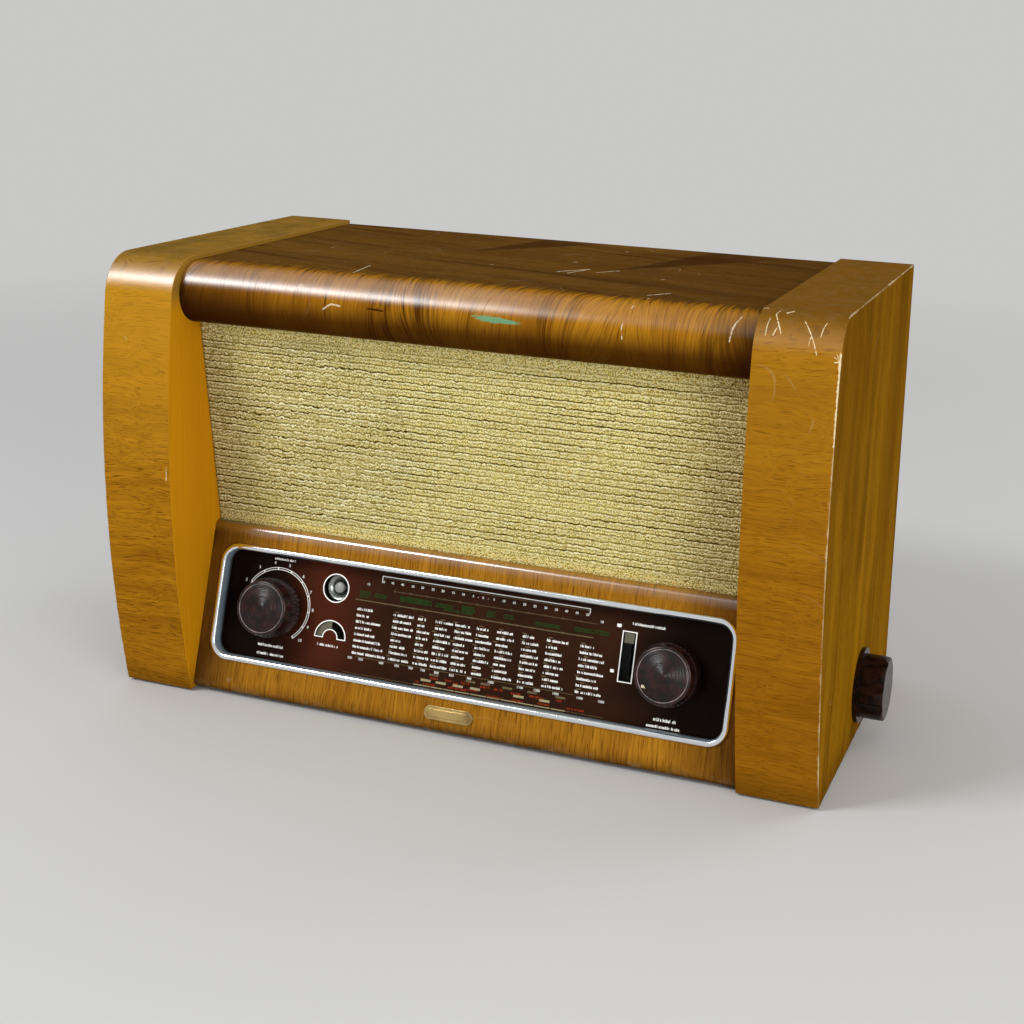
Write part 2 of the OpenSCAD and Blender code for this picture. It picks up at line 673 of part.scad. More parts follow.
module tuning_shaft() {
    tail = cord_w - 22;
    color("silver") on_dial() translate([knob_x, dial_v, 0]) difference() {
        union() {
            translate([0, 0, tail]) cylinder(d = shaft_d, h = knob_w + 13 - tail);
            translate([0, 0, cord_w - 4]) ring(wind_r + 1.5, shaft_d / 2 - 0.5, 1.6);
            translate([0, 0, cord_w + wind_front]) ring(wind_r + 1.5, shaft_d / 2 - 0.5, 1.6);
        }
        translate([0, 0, cord_w - 2.4])
            ring(wind_r + 4, wind_r - cord_d / 2 - cord_gap, wind_front + 2.4);
    }
}

// Sliding collar of the pressed tuning knob, with its spring cup
module tuning_plunger() {
    color("goldenrod") on_dial() translate([knob_x, dial_v, cord_w - 14]) {
        ring(9, shaft_d / 2 + running, 4);
        translate([0, 0, -3]) ring(6, shaft_d / 2 + running, 3);
    }
}

module tuning_bush() {
    color("goldenrod") on_dial() translate([knob_x, dial_v, 0]) {
        translate([0, 0, box_out - 5]) ring(4.9, shaft_d / 2 + running, 9);
        translate([0, 0, box_out - 3]) ring(7.5, 4.5, 3);
        color("lightslategray") {
            translate([-12, -34, hook_w]) difference() {
                cube([24, 46, 1.5]);
                translate([12, 34, -1]) cylinder(r = shaft_d / 2 + running, h = 4);
            }
            translate([-12, -34, hook_w]) cube([24, 1.5, box_out - hook_w]);
        }
    }
}

module volume_shaft() {
    tail = pot_back - pull_slot - 5;
    color("silver") on_dial() translate([-knob_x, dial_v, tail])
        cylinder(d = shaft_d, h = knob_w + 13 - tail);
}

module volume_plunger() {
    color("goldenrod") on_dial() translate([-knob_x, dial_v, pot_back - pull_slot - 3])
        ring(7, shaft_d / 2 + running, 3);
}

module volume_control() {
    color("dimgray") on_dial() translate([-knob_x, dial_v, box_out]) {
        translate([0, 0, -24]) difference() {
            cylinder(d = 26, h = 22);
            translate([0, 0, -1]) cylinder(r = shaft_d / 2 + running, h = 30);
        }
        color("goldenrod") translate([0, 0, -2]) ring(4.9, shaft_d / 2 + running, 8);
        color("goldenrod") translate([0, 0, -2]) ring(12, 4, 2);
        color("peru") for (i = [-1:1]) translate([i * 6 - 2, -18, -12]) cube([4, 7, 0.8]);
    }
}

// Side knob in its own frame: z out of the cabinet side
module side_knob() {
    r = side_knob_d / 2;
    top = side_knob_h - side_gap;
    edge = 3;
    difference() {
        union() {
            cylinder(d = side_flange_d, h = 3, $fn = 96);
            intersection() {
                translate([0, 0, 2]) linear_extrude(side_knob_h) side_knob_outline();
                rotate_extrude($fn = 96) polygon(concat([[0, 1], [r, 1]],
                    [for (a = [0:15:90]) [r - edge + edge * cos(a), top - edge * (1 - sin(a))]],
                    [[0, top]]));
            }
        }
        translate([0, 0, -1]) cylinder(r = shaft_d / 2 + 0.01, h = 16);
    }
}

module side_knob_outline() {
    difference() {
        circle(d = side_knob_d, $fn = 96);
        for (i = [0:7]) rotate(22.5 + 45 * i) translate([side_knob_d / 2 + 4.5, 0]) circle(7.5, $fn = 48);
    }
}

module band_knob() { color([0.25, 0.12, 0.07]) on_side(1) translate([0, 0, side_gap]) side_knob(); }
module tone_knob() { color([0.25, 0.12, 0.07]) on_side(-1) translate([0, 0, side_gap]) side_knob(); }

// Length from a side face to a depth inside the cabinet
module side_rod(side, inner_x) {
    color("silver") on_side(side) translate([0, 0, -(cab_w / 2 - inner_x)])
        cylinder(d = shaft_d, h = cab_w / 2 - inner_x + 14);
}

module band_shaft() { side_rod(1, band_reach); }
module tone_shaft() { side_rod(-1, end_x - 24); }

module band_switch() {
    translate([0, side_y, side_z]) rotate([0, 90, 0]) {
        color("chocolate") for (x = wafer_at) translate([0, 0, x]) difference() {
            cylinder(d = 31, h = 2);
            translate([0, 0, -1]) cylinder(r = shaft_d / 2 + running, h = 4);
        }
        color("silver") for (sy = [-1, 1]) translate([0, sy * 12, wafer_at[0] - 6])
            cylinder(d = 3, h = end_x - wafer_at[0] + 6 - chassis_t, $fn = 32);
        color("goldenrod") translate([0, 0, end_x - chassis_t - 6])
            ring(6, shaft_d / 2 + running, 6);
        color("goldenrod") for (x = wafer_at, a = [0:30:330]) rotate([0, 0, a])
            translate([13, -1, x + 1.4]) cube([5, 2, 1.2]);
    }
}

module tone_control() {
    color("dimgray") translate([chassis_t - end_x, side_y, side_z]) rotate([0, 90, 0])
        difference() {
            union() {
                cylinder(d = 26, h = 16);
                cylinder(d = 29, h = 3);
            }
            translate([0, 0, -1]) cylinder(r = shaft_d / 2 + running, h = 30);
        }
}

module band_flag() {
    on_dial() translate([band_x, band_top_v, 0]) {
        color("khaki") translate([-4, -4, glass_back - 2]) cube([8, 8, 1]);
        color("khaki") translate([-1.2, -1.2, box_out - 3])
            cube([2.4, 2.4, glass_back - 1.5 - box_back + box_t + 3]);
        color("gray") difference() {
            translate([-4, -4, box_out - 7]) cube([8, 8, 5]);
            translate([0, -10, box_out - 4.6]) rotate([-90, 0, 0])
                cylinder(r = 1 + running, h = 20, $fn = 32);
        }
    }
}

module flag_guide() {
    color("silver") on_dial() translate([band_x, band_top_v, box_out - 4.6]) {
        translate([0, -band_drop - 12, 0]) rotate([-90, 0, 0])
            cylinder(d = 2, h = band_drop + 20, $fn = 32);
        for (v = [-band_drop - 10, 6]) translate([-2, v, -1.6]) cube([4, 2.5, 6.2]);
    }
}

module tone_flag() {
    on_dial() translate([tone_x, tone_v, 0]) {
        color("khaki") translate([0, 0, glass_back - 2]) intersection() {
            cylinder(r = flag_r, h = 1);
            translate([-30, 0, -1]) cube([30, 30, 3]);
        }
        color("khaki") translate([0, 0, glass_back - 2]) cylinder(r = 4, h = 1);
        color("silver") translate([0, 0, box_out - 6])
            cylinder(d = 3, h = glass_back - 1.5 - box_back + box_t + 6, $fn = 32);
        color("gray") translate([0, 0, box_out - 6]) ring(7, 1.4, 3);
    }
}

module chassis() {
    y0 = chassis_y;
    color("silver") difference() {
        translate([-end_x, y0, chassis_z]) cube([chassis_w, chassis_d, deck_top - chassis_z]);
        difference() {
            translate([chassis_t - end_x, y0 + chassis_t, chassis_z - 1])
                cube([chassis_w - 2 * chassis_t, chassis_d - 2 * chassis_t, deck_z - chassis_z + 1]);
            for (p = bolt_at) translate([p[0] - 20, p[1] - 15, chassis_z - 2])
                cube([40, 30, 2 + chassis_t]);
        }
        for (p = bolt_at) translate([p[0], p[1], 0]) cylinder(d = 5.6, h = 40);
        for (p = valve_at) translate([p[0], p[1], deck_z - 1]) cylinder(d = 22, h = 5);
        for (p = can_at) translate([p[0], p[1], deck_z - 1]) cylinder(d = 24, h = 5);
        translate([smoother_at[0], smoother_at[1], deck_z - 1]) cylinder(d = 24, h = 5);
        translate([-cab_w / 2, side_y, side_z]) rotate([0, 90, 0])
            cylinder(d = shaft_d + 1, h = cab_w);
        for (x = socket_at) translate([x, y0 + chassis_d - 5, strip_z]) rotate([-90, 0, 0])
            cylinder(d = 9, h = 10);
        translate([grommet_x, y0 + chassis_d - 5, strip_z]) rotate([-90, 0, 0]) cylinder(d = 12, h = 10);
    }
}

module chassis_bushes() {
    color("black") for (p = bolt_at) translate([p[0], p[1], floor_z]) ring(8, 2.8, bush_h);
}

module chassis_screws() {
    color("gray") for (p = bolt_at) translate([p[0], p[1], foot_h + 0.5]) {
        cylinder(d = 9.5, h = 3.4);
        cylinder(d = 5, h = floor_t + bush_h + 6);
        translate([0, 0, floor_t + bush_h + chassis_t - 0.5]) cylinder(d = 9.2, h = 4, $fn = 6);
    }
}

module lamination(w, d, h, bar) {
    difference() {
        cube([w, d, h], center = true);
        for (sx = [-1, 1]) translate([sx * w / 4, 0, 0])
            cube([w / 2 - 1.5 * bar, d + 2, h - 2 * bar], center = true);
    }
}

module mains_transformer() {
    translate([mains_at[0], mains_at[1], deck_top + 36]) {
        color("dimgray") lamination(84, 34, 70, 14);
        color("darkolivegreen") difference() {
            cube([54, 60, 41.4], center = true);
            cube([21.4, 62, 45], center = true);
        }
        color("silver") for (sx = [-1, 1]) translate([sx * 36 - 5, -26, -36]) cube([10, 52, 1]);
    }
}

module output_transformer() {
    translate([output_at[0], output_at[1], deck_top + 23]) {
        color("dimgray") lamination(54, 22, 44, 9);
        color("firebrick") difference() {
            cube([34.6, 40, 25.4], center = true);
            cube([13.8, 42, 28], center = true);
        }
        color("silver") for (sx = [-1, 1]) translate([sx * 22 - 4, -18, -23]) cube([8, 36, 1]);
    }
}

module valve_sockets() {
    for (p = valve_at) translate([p[0], p[1], 0]) {
        color("saddlebrown") translate([0, 0, deck_top - 8]) cylinder(d = 21, h = 8);
        color("saddlebrown") translate([0, 0, deck_top]) cylinder(d = 30, h = 3);
        color("silver") for (a = [0:45:315]) rotate([0, 0, a]) translate([7, -0.6, deck_top - 13])
            cube([0.8, 1.2, 5]);
    }
}

module valves() {
    for (i = [0:4]) translate([valve_at[i][0], valve_at[i][1], deck_top + 3]) {
        tall = i < 3 ? 50 : 66;
        r = i < 3 ? 11 : 15;
        color("silver") cylinder(r = r + 0.6, h = 7);
        color("lightcyan") translate([0, 0, 7]) rotate_extrude() polygon(concat([[0, 0], [r, 0]],
            [for (a = [0:18:90]) [r - 7 + 7 * cos(a), tall - 7 + 7 * sin(a)]], [[0, tall + 2]]));
    }
}

module screening_cans() {
    color("gainsboro") for (p = can_at) translate([p[0], p[1], deck_top]) {
        linear_extrude(can_h) rounded(34, 34, 4);
        translate([0, 0, can_h]) linear_extrude(1.5) rounded(30, 30, 3);
    }
}

module smoothing_capacitor() {
    translate([smoother_at[0], smoother_at[1], deck_top]) {
        color("silver") cylinder(d = 35, h = 74);
        color("black") cylinder(d = 37, h = 5);
        color("black") translate([0, 0, -14]) cylinder(d = 12, h = 14);
    }
}

module coils_and_tags() {
    color("wheat") for (i = [0:3]) translate([coils_at[0] + 38 * i, coils_at[1], deck_z - 34]) {
        cylinder(d = 10, h = 34);
        translate([0, 0, 8]) cylinder(d = 16, h = 9);
        translate([0, 0, 21]) cylinder(d = 14, h = 6);
    }
    translate([tags_at[0], tags_at[1], deck_z - 20]) {
        color("peru") cube([170, 14, 1.6]);
        color("silver") for (i = [0:3]) translate([10 + 48 * i, 6, 1.6]) cube([4, 2, 18.4]);
        for (i = [0:8]) color(i % 2 == 0 ? "sienna" : "darkgoldenrod")
            translate([8 + 19 * i, 7, -3 - (i % 3)]) rotate([90, 0, 0])
                cylinder(r = 3 + (i % 3), h = 16, center = true, $fn = 32);
    }
}

// Loudspeaker parts in the frame of its axis, z to the listener, 0 at the baffle's back
module on_speaker() {
    on_cloth() translate([-speaker_x, speaker_s, baffle_back]) children();
}

module speaker_basket() {
    color("lightslategray") on_speaker() difference() {
        rotate_extrude($fn = 96) polygon([[speaker_rim_r, 0], [speaker_open_r - 0.5, 0],
            [speaker_open_r - 0.5, -5], [36, -44], [18, -44], [18, -46], [38, -46],
            [speaker_open_r + 1.5, -6.5], [speaker_open_r + 1.5, -1.8], [speaker_rim_r, -1.8]]);
        for (i = [0:5]) rotate([0, 0, 60 * i + 30]) translate([speaker_open_r / 2 + 19, 0, -60])
            cylinder(r = (speaker_open_r - 39) / 3, h = 50);
        for (i = [0:3]) rotate([0, 0, 90 * i + 45]) translate([speaker_rim_r - 2.6, 0, -5])
            cylinder(d = 3, h = 10, $fn = 24);
    }
    color("dimgray") on_speaker() translate([0, 0, -3.5])
        rotate_extrude($fn = 96) polygon([[cone_r + 0.8, 0], [speaker_open_r - 0.4, 0],
            [speaker_open_r - 0.4, 1], [cone_r + 6, 1], [cone_r + 4, 2.4], [cone_r + 2, 1],
            [cone_r + 0.8, 1]]);
}

module speaker_magnet() {
    color("gray") on_speaker() {
        translate([0, 0, -50]) ring(38, 15.5, 4);
        translate([0, 0, -82]) difference() {
            cylinder(r = 40, h = 32);
            translate([0, 0, 4]) cylinder(r = 30, h = 30);
        }
        translate([0, 0, -79]) cylinder(r = 22, h = 22);
        translate([0, 0, -58]) cylinder(r = 12, h = 12);
    }
}

module speaker_cone() {
    color("burlywood") on_speaker() {
        rotate_extrude($fn = 96) polygon([[cone_r, -4], [cone_r, -3], [cone_r - 1, -3],
            [14.8, -38], [13.2, -38], [13.2, -53], [14.4, -53], [14.4, -39.4]]);
        translate([0, 0, -38]) rotate_extrude() polygon(concat([[14.8, 0]],
            [for (a = [15:15:90]) [14.8 * cos(a), 6 * sin(a)]],
            [for (a = [90:-15:15]) [13.8 * cos(a), 5 * sin(a)]], [[13.8, 0]]));
    }
}

module back_cover() {
    w = 2 * cover_x;
    h = cover_z1 - cover_z0;
    color("tan") difference() {
        translate([-cover_x, cover_y, cover_z0]) cube([w, cover_t, h]);
        for (row = [0:6], col = [-9:9]) translate([col * 26, cover_y - 1, cover_z0 + 150 + 24 * row])
            rotate([-90, 0, 0]) translate([-9, -2, 0]) cube([18, 4, cover_t + 2]);
        for (col = [-9:9]) translate([col * 26 - 9, cover_y - 1, cover_z0 + 88]) cube([18, cover_t + 2, 4]);
        translate([strip_x - 37, cover_y - 1, strip_z - 11]) cube([74, cover_t + 2, 22]);
        translate([grommet_x, cover_y - 1, strip_z]) rotate([-90, 0, 0]) cylinder(d = 13, h = cover_t + 2);
        for (p = cover_screw_at) translate([p[0], cover_y - 1, p[1]]) rotate([-90, 0, 0])
            cylinder(d = 4.4, h = cover_t + 2);
    }
    color("gray") for (p = cover_screw_at) translate([p[0], cover_y, p[1]]) {
        rotate([-90, 0, 0]) translate([0, 0, cover_t]) cylinder(d = 9, h = 2);
        rotate([90, 0, 0]) translate([0, 0, -cover_t]) cylinder(d = 3, h = cover_t + 11);
    }
    // rubber grommet where the mains lead enters
    color("black") translate([grommet_x, cover_y - 2, strip_z]) rotate([-90, 0, 0]) difference() {
        union() {
            cylinder(d = 12.6, h = cover_t + 4);
            cylinder(d = 18, h = 2);
            translate([0, 0, cover_t + 2]) cylinder(d = 18, h = 1.8);
        }
        translate([0, 0, -1]) cylinder(d = 7.5, h = cover_t + 8);
    }
}

module terminal_strip() {
    y0 = chassis_y + chassis_d;
    color("sienna") difference() {
        translate([strip_x - 36, y0, strip_z - 10]) cube([72, rear - cover_sink - y0, 20]);
        for (x = socket_at) translate([x, y0 - 1, strip_z]) rotate([-90, 0, 0])
            cylinder(d = socket_d + 3, h = 40);
    }
    color("silver") for (x = socket_at) translate([x, y0 - 4, strip_z]) rotate([-90, 0, 0])
        ring(socket_d / 2 + 1.5, socket_d / 2, rear - cover_sink - y0 + 4.6);
}

cheek_left();
cheek_right();
top_panel();
roll_core();
bottom_board();
felt_feet();
back_battens();
dial_panel();
badge_plate();
baffle_board();
grille_cloth();
dial_bezel();
dial_glass();
light_box();
dial_lamps();
magic_eye();
eye_clamp();
drive_brackets();
pointer_rail();
pointer_carriage();
pointer();
idler_left();
idler_right();
dial_cord();
cord_drum();
capacitor_rotor();
capacitor_frame();
capacitor_bracket();
tuning_plunger();
tuning_shaft();
tuning_knob();
tuning_bush();
volume_plunger();
volume_shaft();
volume_knob();
volume_control();
band_knob();
band_shaft();
band_switch();
band_flag();
flag_guide();
tone_knob();
tone_shaft();
tone_control();
tone_flag();
chassis();
chassis_bushes();
chassis_screws();
mains_transformer();
output_transformer();
valve_sockets();
valves();
screening_cans();
smoothing_capacitor();
coils_and_tags();
speaker_basket();
speaker_magnet();
speaker_cone();
back_cover();
terminal_strip();
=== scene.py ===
# Table radio receiver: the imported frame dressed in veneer, cloth, chrome, bakelite and printed glass.
# Lengths are metres, and dial measures are millimetres across and up the sloping panel.
import math
import random

import bpy
import bmesh
from mathutils import Matrix, Vector, noise


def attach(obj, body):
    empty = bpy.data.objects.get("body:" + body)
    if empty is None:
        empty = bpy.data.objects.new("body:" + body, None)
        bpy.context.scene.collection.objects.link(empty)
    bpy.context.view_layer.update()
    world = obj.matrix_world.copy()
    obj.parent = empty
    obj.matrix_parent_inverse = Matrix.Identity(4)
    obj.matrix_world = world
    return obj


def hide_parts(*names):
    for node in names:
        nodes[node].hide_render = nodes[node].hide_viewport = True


viewpoint = {
    "place": (0.50454, -1.28989, 0.56933),
    "yaw": 20.57145,        # degrees round from straight on
    "pitch": 10.9969,       # degrees downward
    "roll": 1.69577,
    "lens": 60.364,
    "sensor": 36,           # width in millimetres
    "shift": (-0.0273, -0.168),
}


def setCamera(spec):
    yaw, pitch, roll = (math.radians(spec[key]) for key in ("yaw", "pitch", "roll"))
    ahead = Vector((-math.sin(yaw) * math.cos(pitch), math.cos(yaw) * math.cos(pitch), -math.sin(pitch)))
    level = ahead.cross(Vector((0, 0, 1))).normalized()
    raised = level.cross(ahead)
    right = level * math.cos(roll) + raised * math.sin(roll)
    up = raised * math.cos(roll) - level * math.sin(roll)
    data = bpy.data.cameras.new("photoCamera")
    data.sensor_width = spec["sensor"]
    data.lens = spec["lens"]
    data.shift_x, data.shift_y = spec["shift"]
    camera = bpy.data.objects.new("photoCamera", data)
    turn = Matrix((right, up, -ahead)).transposed().to_4x4()
    camera.matrix_world = Matrix.Translation(spec["place"]) @ turn
    bpy.context.scene.collection.objects.link(camera)
    bpy.context.scene.camera = camera


setCamera(viewpoint)
print("camera set")

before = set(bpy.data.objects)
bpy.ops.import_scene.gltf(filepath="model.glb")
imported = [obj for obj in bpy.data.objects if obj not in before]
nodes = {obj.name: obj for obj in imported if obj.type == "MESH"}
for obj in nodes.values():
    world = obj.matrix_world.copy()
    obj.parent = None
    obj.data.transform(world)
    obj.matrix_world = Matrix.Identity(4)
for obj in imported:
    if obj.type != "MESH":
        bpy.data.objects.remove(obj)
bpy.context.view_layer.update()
print("frame loaded:", len(nodes), "nodes")


# Shader nodes, written as sums

class Signal:
    # A node's output that can be reckoned with: each sum adds a Math node to its tree
    def __init__(self, socket):
        self.socket = socket
        self.tree = socket.id_data

    def __add__(self, other):
        return calc("ADD", self, other)

    def __sub__(self, other):
        return calc("SUBTRACT", self, other)

    def __rsub__(self, other):
        return calc("SUBTRACT", other, self)

    def __mul__(self, other):
        return calc("MULTIPLY", self, other)

    def __truediv__(self, other):
        return calc("DIVIDE", self, other)

    def __gt__(self, other):
        return calc("GREATER_THAN", self, other)

    def __lt__(self, other):
        return calc("LESS_THAN", self, other)

    def __abs__(self):
        return calc("ABSOLUTE", self)

    __radd__ = __add__
    __rmul__ = __mul__


def put(tree, kind, inputs=None, **settings):
    # One node, with its settings, and its inputs given as values or as signals to link
    node = tree.nodes.new(kind)
    for name, value in settings.items():
        setattr(node, name, value)
    for name, value in (inputs or {}).items():
        if isinstance(value, Signal):
            tree.links.new(value.socket, node.inputs[name])
        elif node.inputs[name].type == "RGBA":
            node.inputs[name].default_value = (*value, 1)
        else:
            node.inputs[name].default_value = value
    return node


def read(tree, kind, inputs=None, output=0, **settings):
    return Signal(put(tree, kind, inputs, **settings).outputs[output])


def feed(node, **inputs):
    for name, value in inputs.items():
        value.tree.links.new(value.socket, node.inputs[name.replace("_", " ")])


def treeOf(*values):
    return next(value.tree for value in values if isinstance(value, Signal))


def calc(operation, *values):
    return read(treeOf(*values), "ShaderNodeMath", dict(enumerate(values)), operation=operation)


def clamped(total):
    total.socket.node.use_clamp = True
    return total


def most(first, *others):
    for other in others:
        first = calc("MAXIMUM", first, other)
    return first


def least(first, second):
    return calc("MINIMUM", first, second)


def distanceTo(a, b, middleA, middleB):
    offA, offB = a - middleA, b - middleB
    return calc("SQRT", offA * offA + offB * offB)


def vectorMath(operation, *values):
    kinds = {"LENGTH": "Value", "DISTANCE": "Value", "DOT_PRODUCT": "Value"}
    inputs = dict(enumerate(values))
    if operation == "SCALE":
        inputs = {0: values[0], "Scale": values[1]}
    return read(treeOf(*values), "ShaderNodeVectorMath", inputs, kinds.get(operation, "Vector"),
                operation=operation)


def axes(vector):
    return [Signal(out) for out in put(vector.tree, "ShaderNodeSeparateXYZ", {0: vector}).outputs]


def point(x, y, z=0.0):
    return read(treeOf(x, y, z), "ShaderNodeCombineXYZ", {0: x, 1: y, 2: z})


def stretched(vector, scale):
    return read(vector.tree, "ShaderNodeMapping", {"Vector": vector, "Scale": scale})


def turnedTo(vector, turn):
    return read(vector.tree, "ShaderNodeMapping", {"Vector": vector, "Rotation": turn})


def cloud(vector, scale, detail=3.0, roughness=0.5, distortion=0.0):
    # Noise of one scale, or of one for each axis
    if isinstance(scale, tuple):
        vector, scale = stretched(vector, scale), 1.0
    return read(vector.tree, "ShaderNodeTexNoise", {"Vector": vector, "Scale": scale, "Detail": detail,
                                                    "Roughness": roughness, "Distortion": distortion}, "Fac")


def cloudAlong(length, scale, detail):
    return read(length.tree, "ShaderNodeTexNoise", {"W": length, "Scale": scale, "Detail": detail}, "Fac",
                noise_dimensions="1D")


def grainsOf(vector, scale):
    # Cells: the distance from the middle of each, and a tone of its own
    cells = put(vector.tree, "ShaderNodeTexVoronoi", {"Vector": vector, "Scale": scale}, feature="F1")
    tone = read(vector.tree, "ShaderNodeSeparateColor", {0: Signal(cells.outputs["Color"])})
    return Signal(cells.outputs["Distance"]), tone


def remap(value, low, high, to=(0.0, 1.0), kind="LINEAR"):
    inputs = {"Value": value, "From Min": low, "From Max": high, "To Min": to[0], "To Max": to[1]}
    return read(value.tree, "ShaderNodeMapRange", inputs, interpolation_type=kind)


def ease(value, low, high, to=(0.0, 1.0)):
    return remap(value, low, high, to, "SMOOTHSTEP")


def blend(amount, first, second, kind="MIX"):
    return read(treeOf(amount, first, second), "ShaderNodeMix", {0: amount, 6: first, 7: second}, 2,
                data_type="RGBA", blend_type=kind)


# Light and world

studio = {
    "world": 0.56,              # level of the light from all round
    "backdrop": (0.58, 0.58, 0.575),
    "floor": (0.59, 0.59, 0.585),
    "floorHalf": 14,
    "fade": (0.9, 2.6),         # where the floor starts and ends its fade into the backdrop
    "lamps": [
        # name, place, aims at, size, power, colour
        ("windowLamp", (-1.42, -1.72, 2.02), (0.0, 0.0, 0.20), (0.85, 0.55), 43, (0.96, 0.98, 1.0)),
        ("roomLamp", (1.75, -1.65, 0.85), (0.0, 0.0, 0.16), (1.2, 1.0), 22.5, (1.0, 0.98, 0.95)),
        ("backLamp", (1.8, 1.6, 1.2), (0.0, 0.0, 0.18), (1.2, 1.0), 13, (1.0, 0.99, 0.97)),
    ],
}


def setLamp(name, place, target, size, power, colour):
    data = bpy.data.lights.new(name, "AREA")
    data.shape = "RECTANGLE"
    data.size, data.size_y = size
    data.energy = power
    data.color = colour
    lamp = bpy.data.objects.new(name, data)
    lamp.location = place
    lamp.rotation_euler = (Vector(target) - Vector(place)).to_track_quat("-Z", "Y").to_euler()
    bpy.context.scene.collection.objects.link(lamp)


def seenDirectly(tree):
    # 1 for what the camera sees, also in a mirror or through glass
    path = put(tree, "ShaderNodeLightPath")
    return most(*(Signal(path.outputs[f"Is {ray} Ray"]) for ray in ("Camera", "Glossy", "Transmission")))


def setWorld(spec):
    world = bpy.data.worlds.new("studioWorld")
    world.use_nodes = True
    tree = world.node_tree
    tree.nodes.clear()
    lit = read(tree, "ShaderNodeBackground", {"Color": (1, 1, 1), "Strength": spec["world"]})
    shown = read(tree, "ShaderNodeBackground", {"Color": spec["backdrop"], "Strength": 1})
    both = read(tree, "ShaderNodeMixShader", {0: seenDirectly(tree), 1: lit, 2: shown})
    put(tree, "ShaderNodeOutputWorld", {"Surface": both})
    bpy.context.scene.world = world


setWorld(studio)
for lamp in studio["lamps"]:
    setLamp(*lamp)
bpy.context.scene.view_settings.view_transform = "Standard"
print("lamps set")


# Shader groups shared by several finishes

def startGroup(name, takes, gives):
    # What it takes is a colour, a vector or a number's first value
    group = bpy.data.node_groups.new(name, "ShaderNodeTree")
    kinds = {"vector": "NodeSocketVector", "colour": "NodeSocketColor", "value": "NodeSocketFloat"}
    for label, kind in takes.items():
        given = kind if kind in kinds else "value"
        socket = group.interface.new_socket(name=label, in_out="INPUT", socket_type=kinds[given])
        if given == "value":
            socket.default_value = kind
    for label, kind in gives.items():
        group.interface.new_socket(name=label, in_out="OUTPUT", socket_type=kinds[kind])
    inputs = put(group, "NodeGroupInput").outputs
    return {label: Signal(inputs[label]) for label in takes}, put(group, "NodeGroupOutput")


def useGroup(group, **inputs):
    node = put(treeOf(*inputs.values()), "ShaderNodeGroup", node_tree=group)
    for name, value in inputs.items():
        if isinstance(value, Signal):
            feed(node, **{name: value})
        else:
            socket = node.inputs[name]
            socket.default_value = (*value, 1) if socket.type == "RGBA" else value
    return {out.name: Signal(out) for out in node.outputs}


def makeGrainGroup():
    # Veneer: X of the coordinates runs along the grain
    take, give = startGroup(
        "woodGrain",
        {"Coordinates": "vector", "Pale": "colour", "Deep": "colour", "Pore": "colour", "Bands": 1.0,
         "Lines": 1.0, "Pores": 1.0, "Waviness": 1.0},
        {"Color": "colour", "Height": "value"})
    where = take["Coordinates"]
    sway = read(where.tree, "ShaderNodeTexNoise", {"Vector": where, "Scale": 14.0, "Detail": 2.0}, "Color")
    sway = vectorMath("MULTIPLY", vectorMath("SUBTRACT", sway, (0.5, 0.5, 0.5)), (0.0, 0.012, 0.012))
    bent = vectorMath("ADD", where, vectorMath("SCALE", sway, take["Waviness"]))
    bands = cloud(bent, (1.6, 34, 34), 3.0, 0.55, 0.6)
    lines = cloud(bent, (6, 420, 420), 5.0, 0.68)
    pores = remap(cloud(bent, (52, 1400, 1400), 1.5), 0.555, 0.68) * take["Pores"]
    bandShare = remap(bands, 0.30, 0.70) * take["Bands"]
    lineShare = remap(lines, 0.32, 0.68) * take["Lines"]
    body = blend(clamped(bandShare * 0.5 + lineShare * 0.5), take["Pale"], take["Deep"])
    body = blend(clamped(pores * 0.7), body, take["Pore"])
    feed(give, Color=body, Height=lines * 0.25 - pores)
    return where.tree


def makeFlameGroup():
    # Flame figure of the rolled top: bundles of dark streaks along X
    take, give = startGroup("flameFigure", {"Coordinates": "vector", "Spread": 1.0},
                            {"Figure": "value", "Fine": "value"})
    where = take["Coordinates"]
    bundles = ease(cloud(where, (7, 62, 1), 2.0, 0.5, 0.3), 0.47, 0.60)
    patch = ease(cloud(where, (4, 15, 1), 2.0), 0.40, 0.60) * take["Spread"]
    fine = remap(cloud(where, (16, 620, 1), 3.0, 0.55), 0.40, 0.58)
    feed(give, Figure=clamped(bundles * patch), Fine=fine)
    return where.tree


def makeMarksGroup():
    # Marks of handling: hair scratches and pale specks
    take, give = startGroup("handlingMarks", {"Coordinates": "vector", "Scratches": 0.5, "Specks": 0.5},
                            {"Scratches": "value", "Specks": "value", "Dust": "value"})
    where = take["Coordinates"]
    line = remap(abs(cloud(where, 11.0, 1.0, 0.4, 0.8) - 0.5), 0.0005, 0.0022, (1.0, 0.0))
    sparse = remap(cloud(where, 23.0, 2.0), 0.58, 0.64)
    distance, tone = grainsOf(where, 55.0)
    dot = distance < remap(tone, 0.86, 1.0, (0.0, 0.13))
    feed(give, Scratches=line * sparse * take["Scratches"], Specks=dot * take["Specks"],
         Dust=remap(cloud(where, 90.0, 6.0, 0.72), 0.46, 0.74))
    return where.tree


def makeEdgeGroup():
    # Wear along an edge, from the distance to it
    take, give = startGroup(
        "edgeWear", {"Coordinates": "vector", "Distance": 1.0, "Width": 0.002, "Breaks": 0.5},
        {"Wear": "value"})
    where = take["Coordinates"]
    reach = take["Width"] * remap(cloud(where, 130.0, 4.0, 0.65), 0.35, 0.75, (0.25, 1.5))
    near = clamped(1.0 - take["Distance"] / reach)
    gone = remap(cloud(where, 21.0, 3.0), 0.40, 0.56)
    kept = read(where.tree, "ShaderNodeMix", {0: take["Breaks"], 2: 1.0, 3: gone}, data_type="FLOAT")
    feed(give, Wear=clamped(near * kept))
    return where.tree


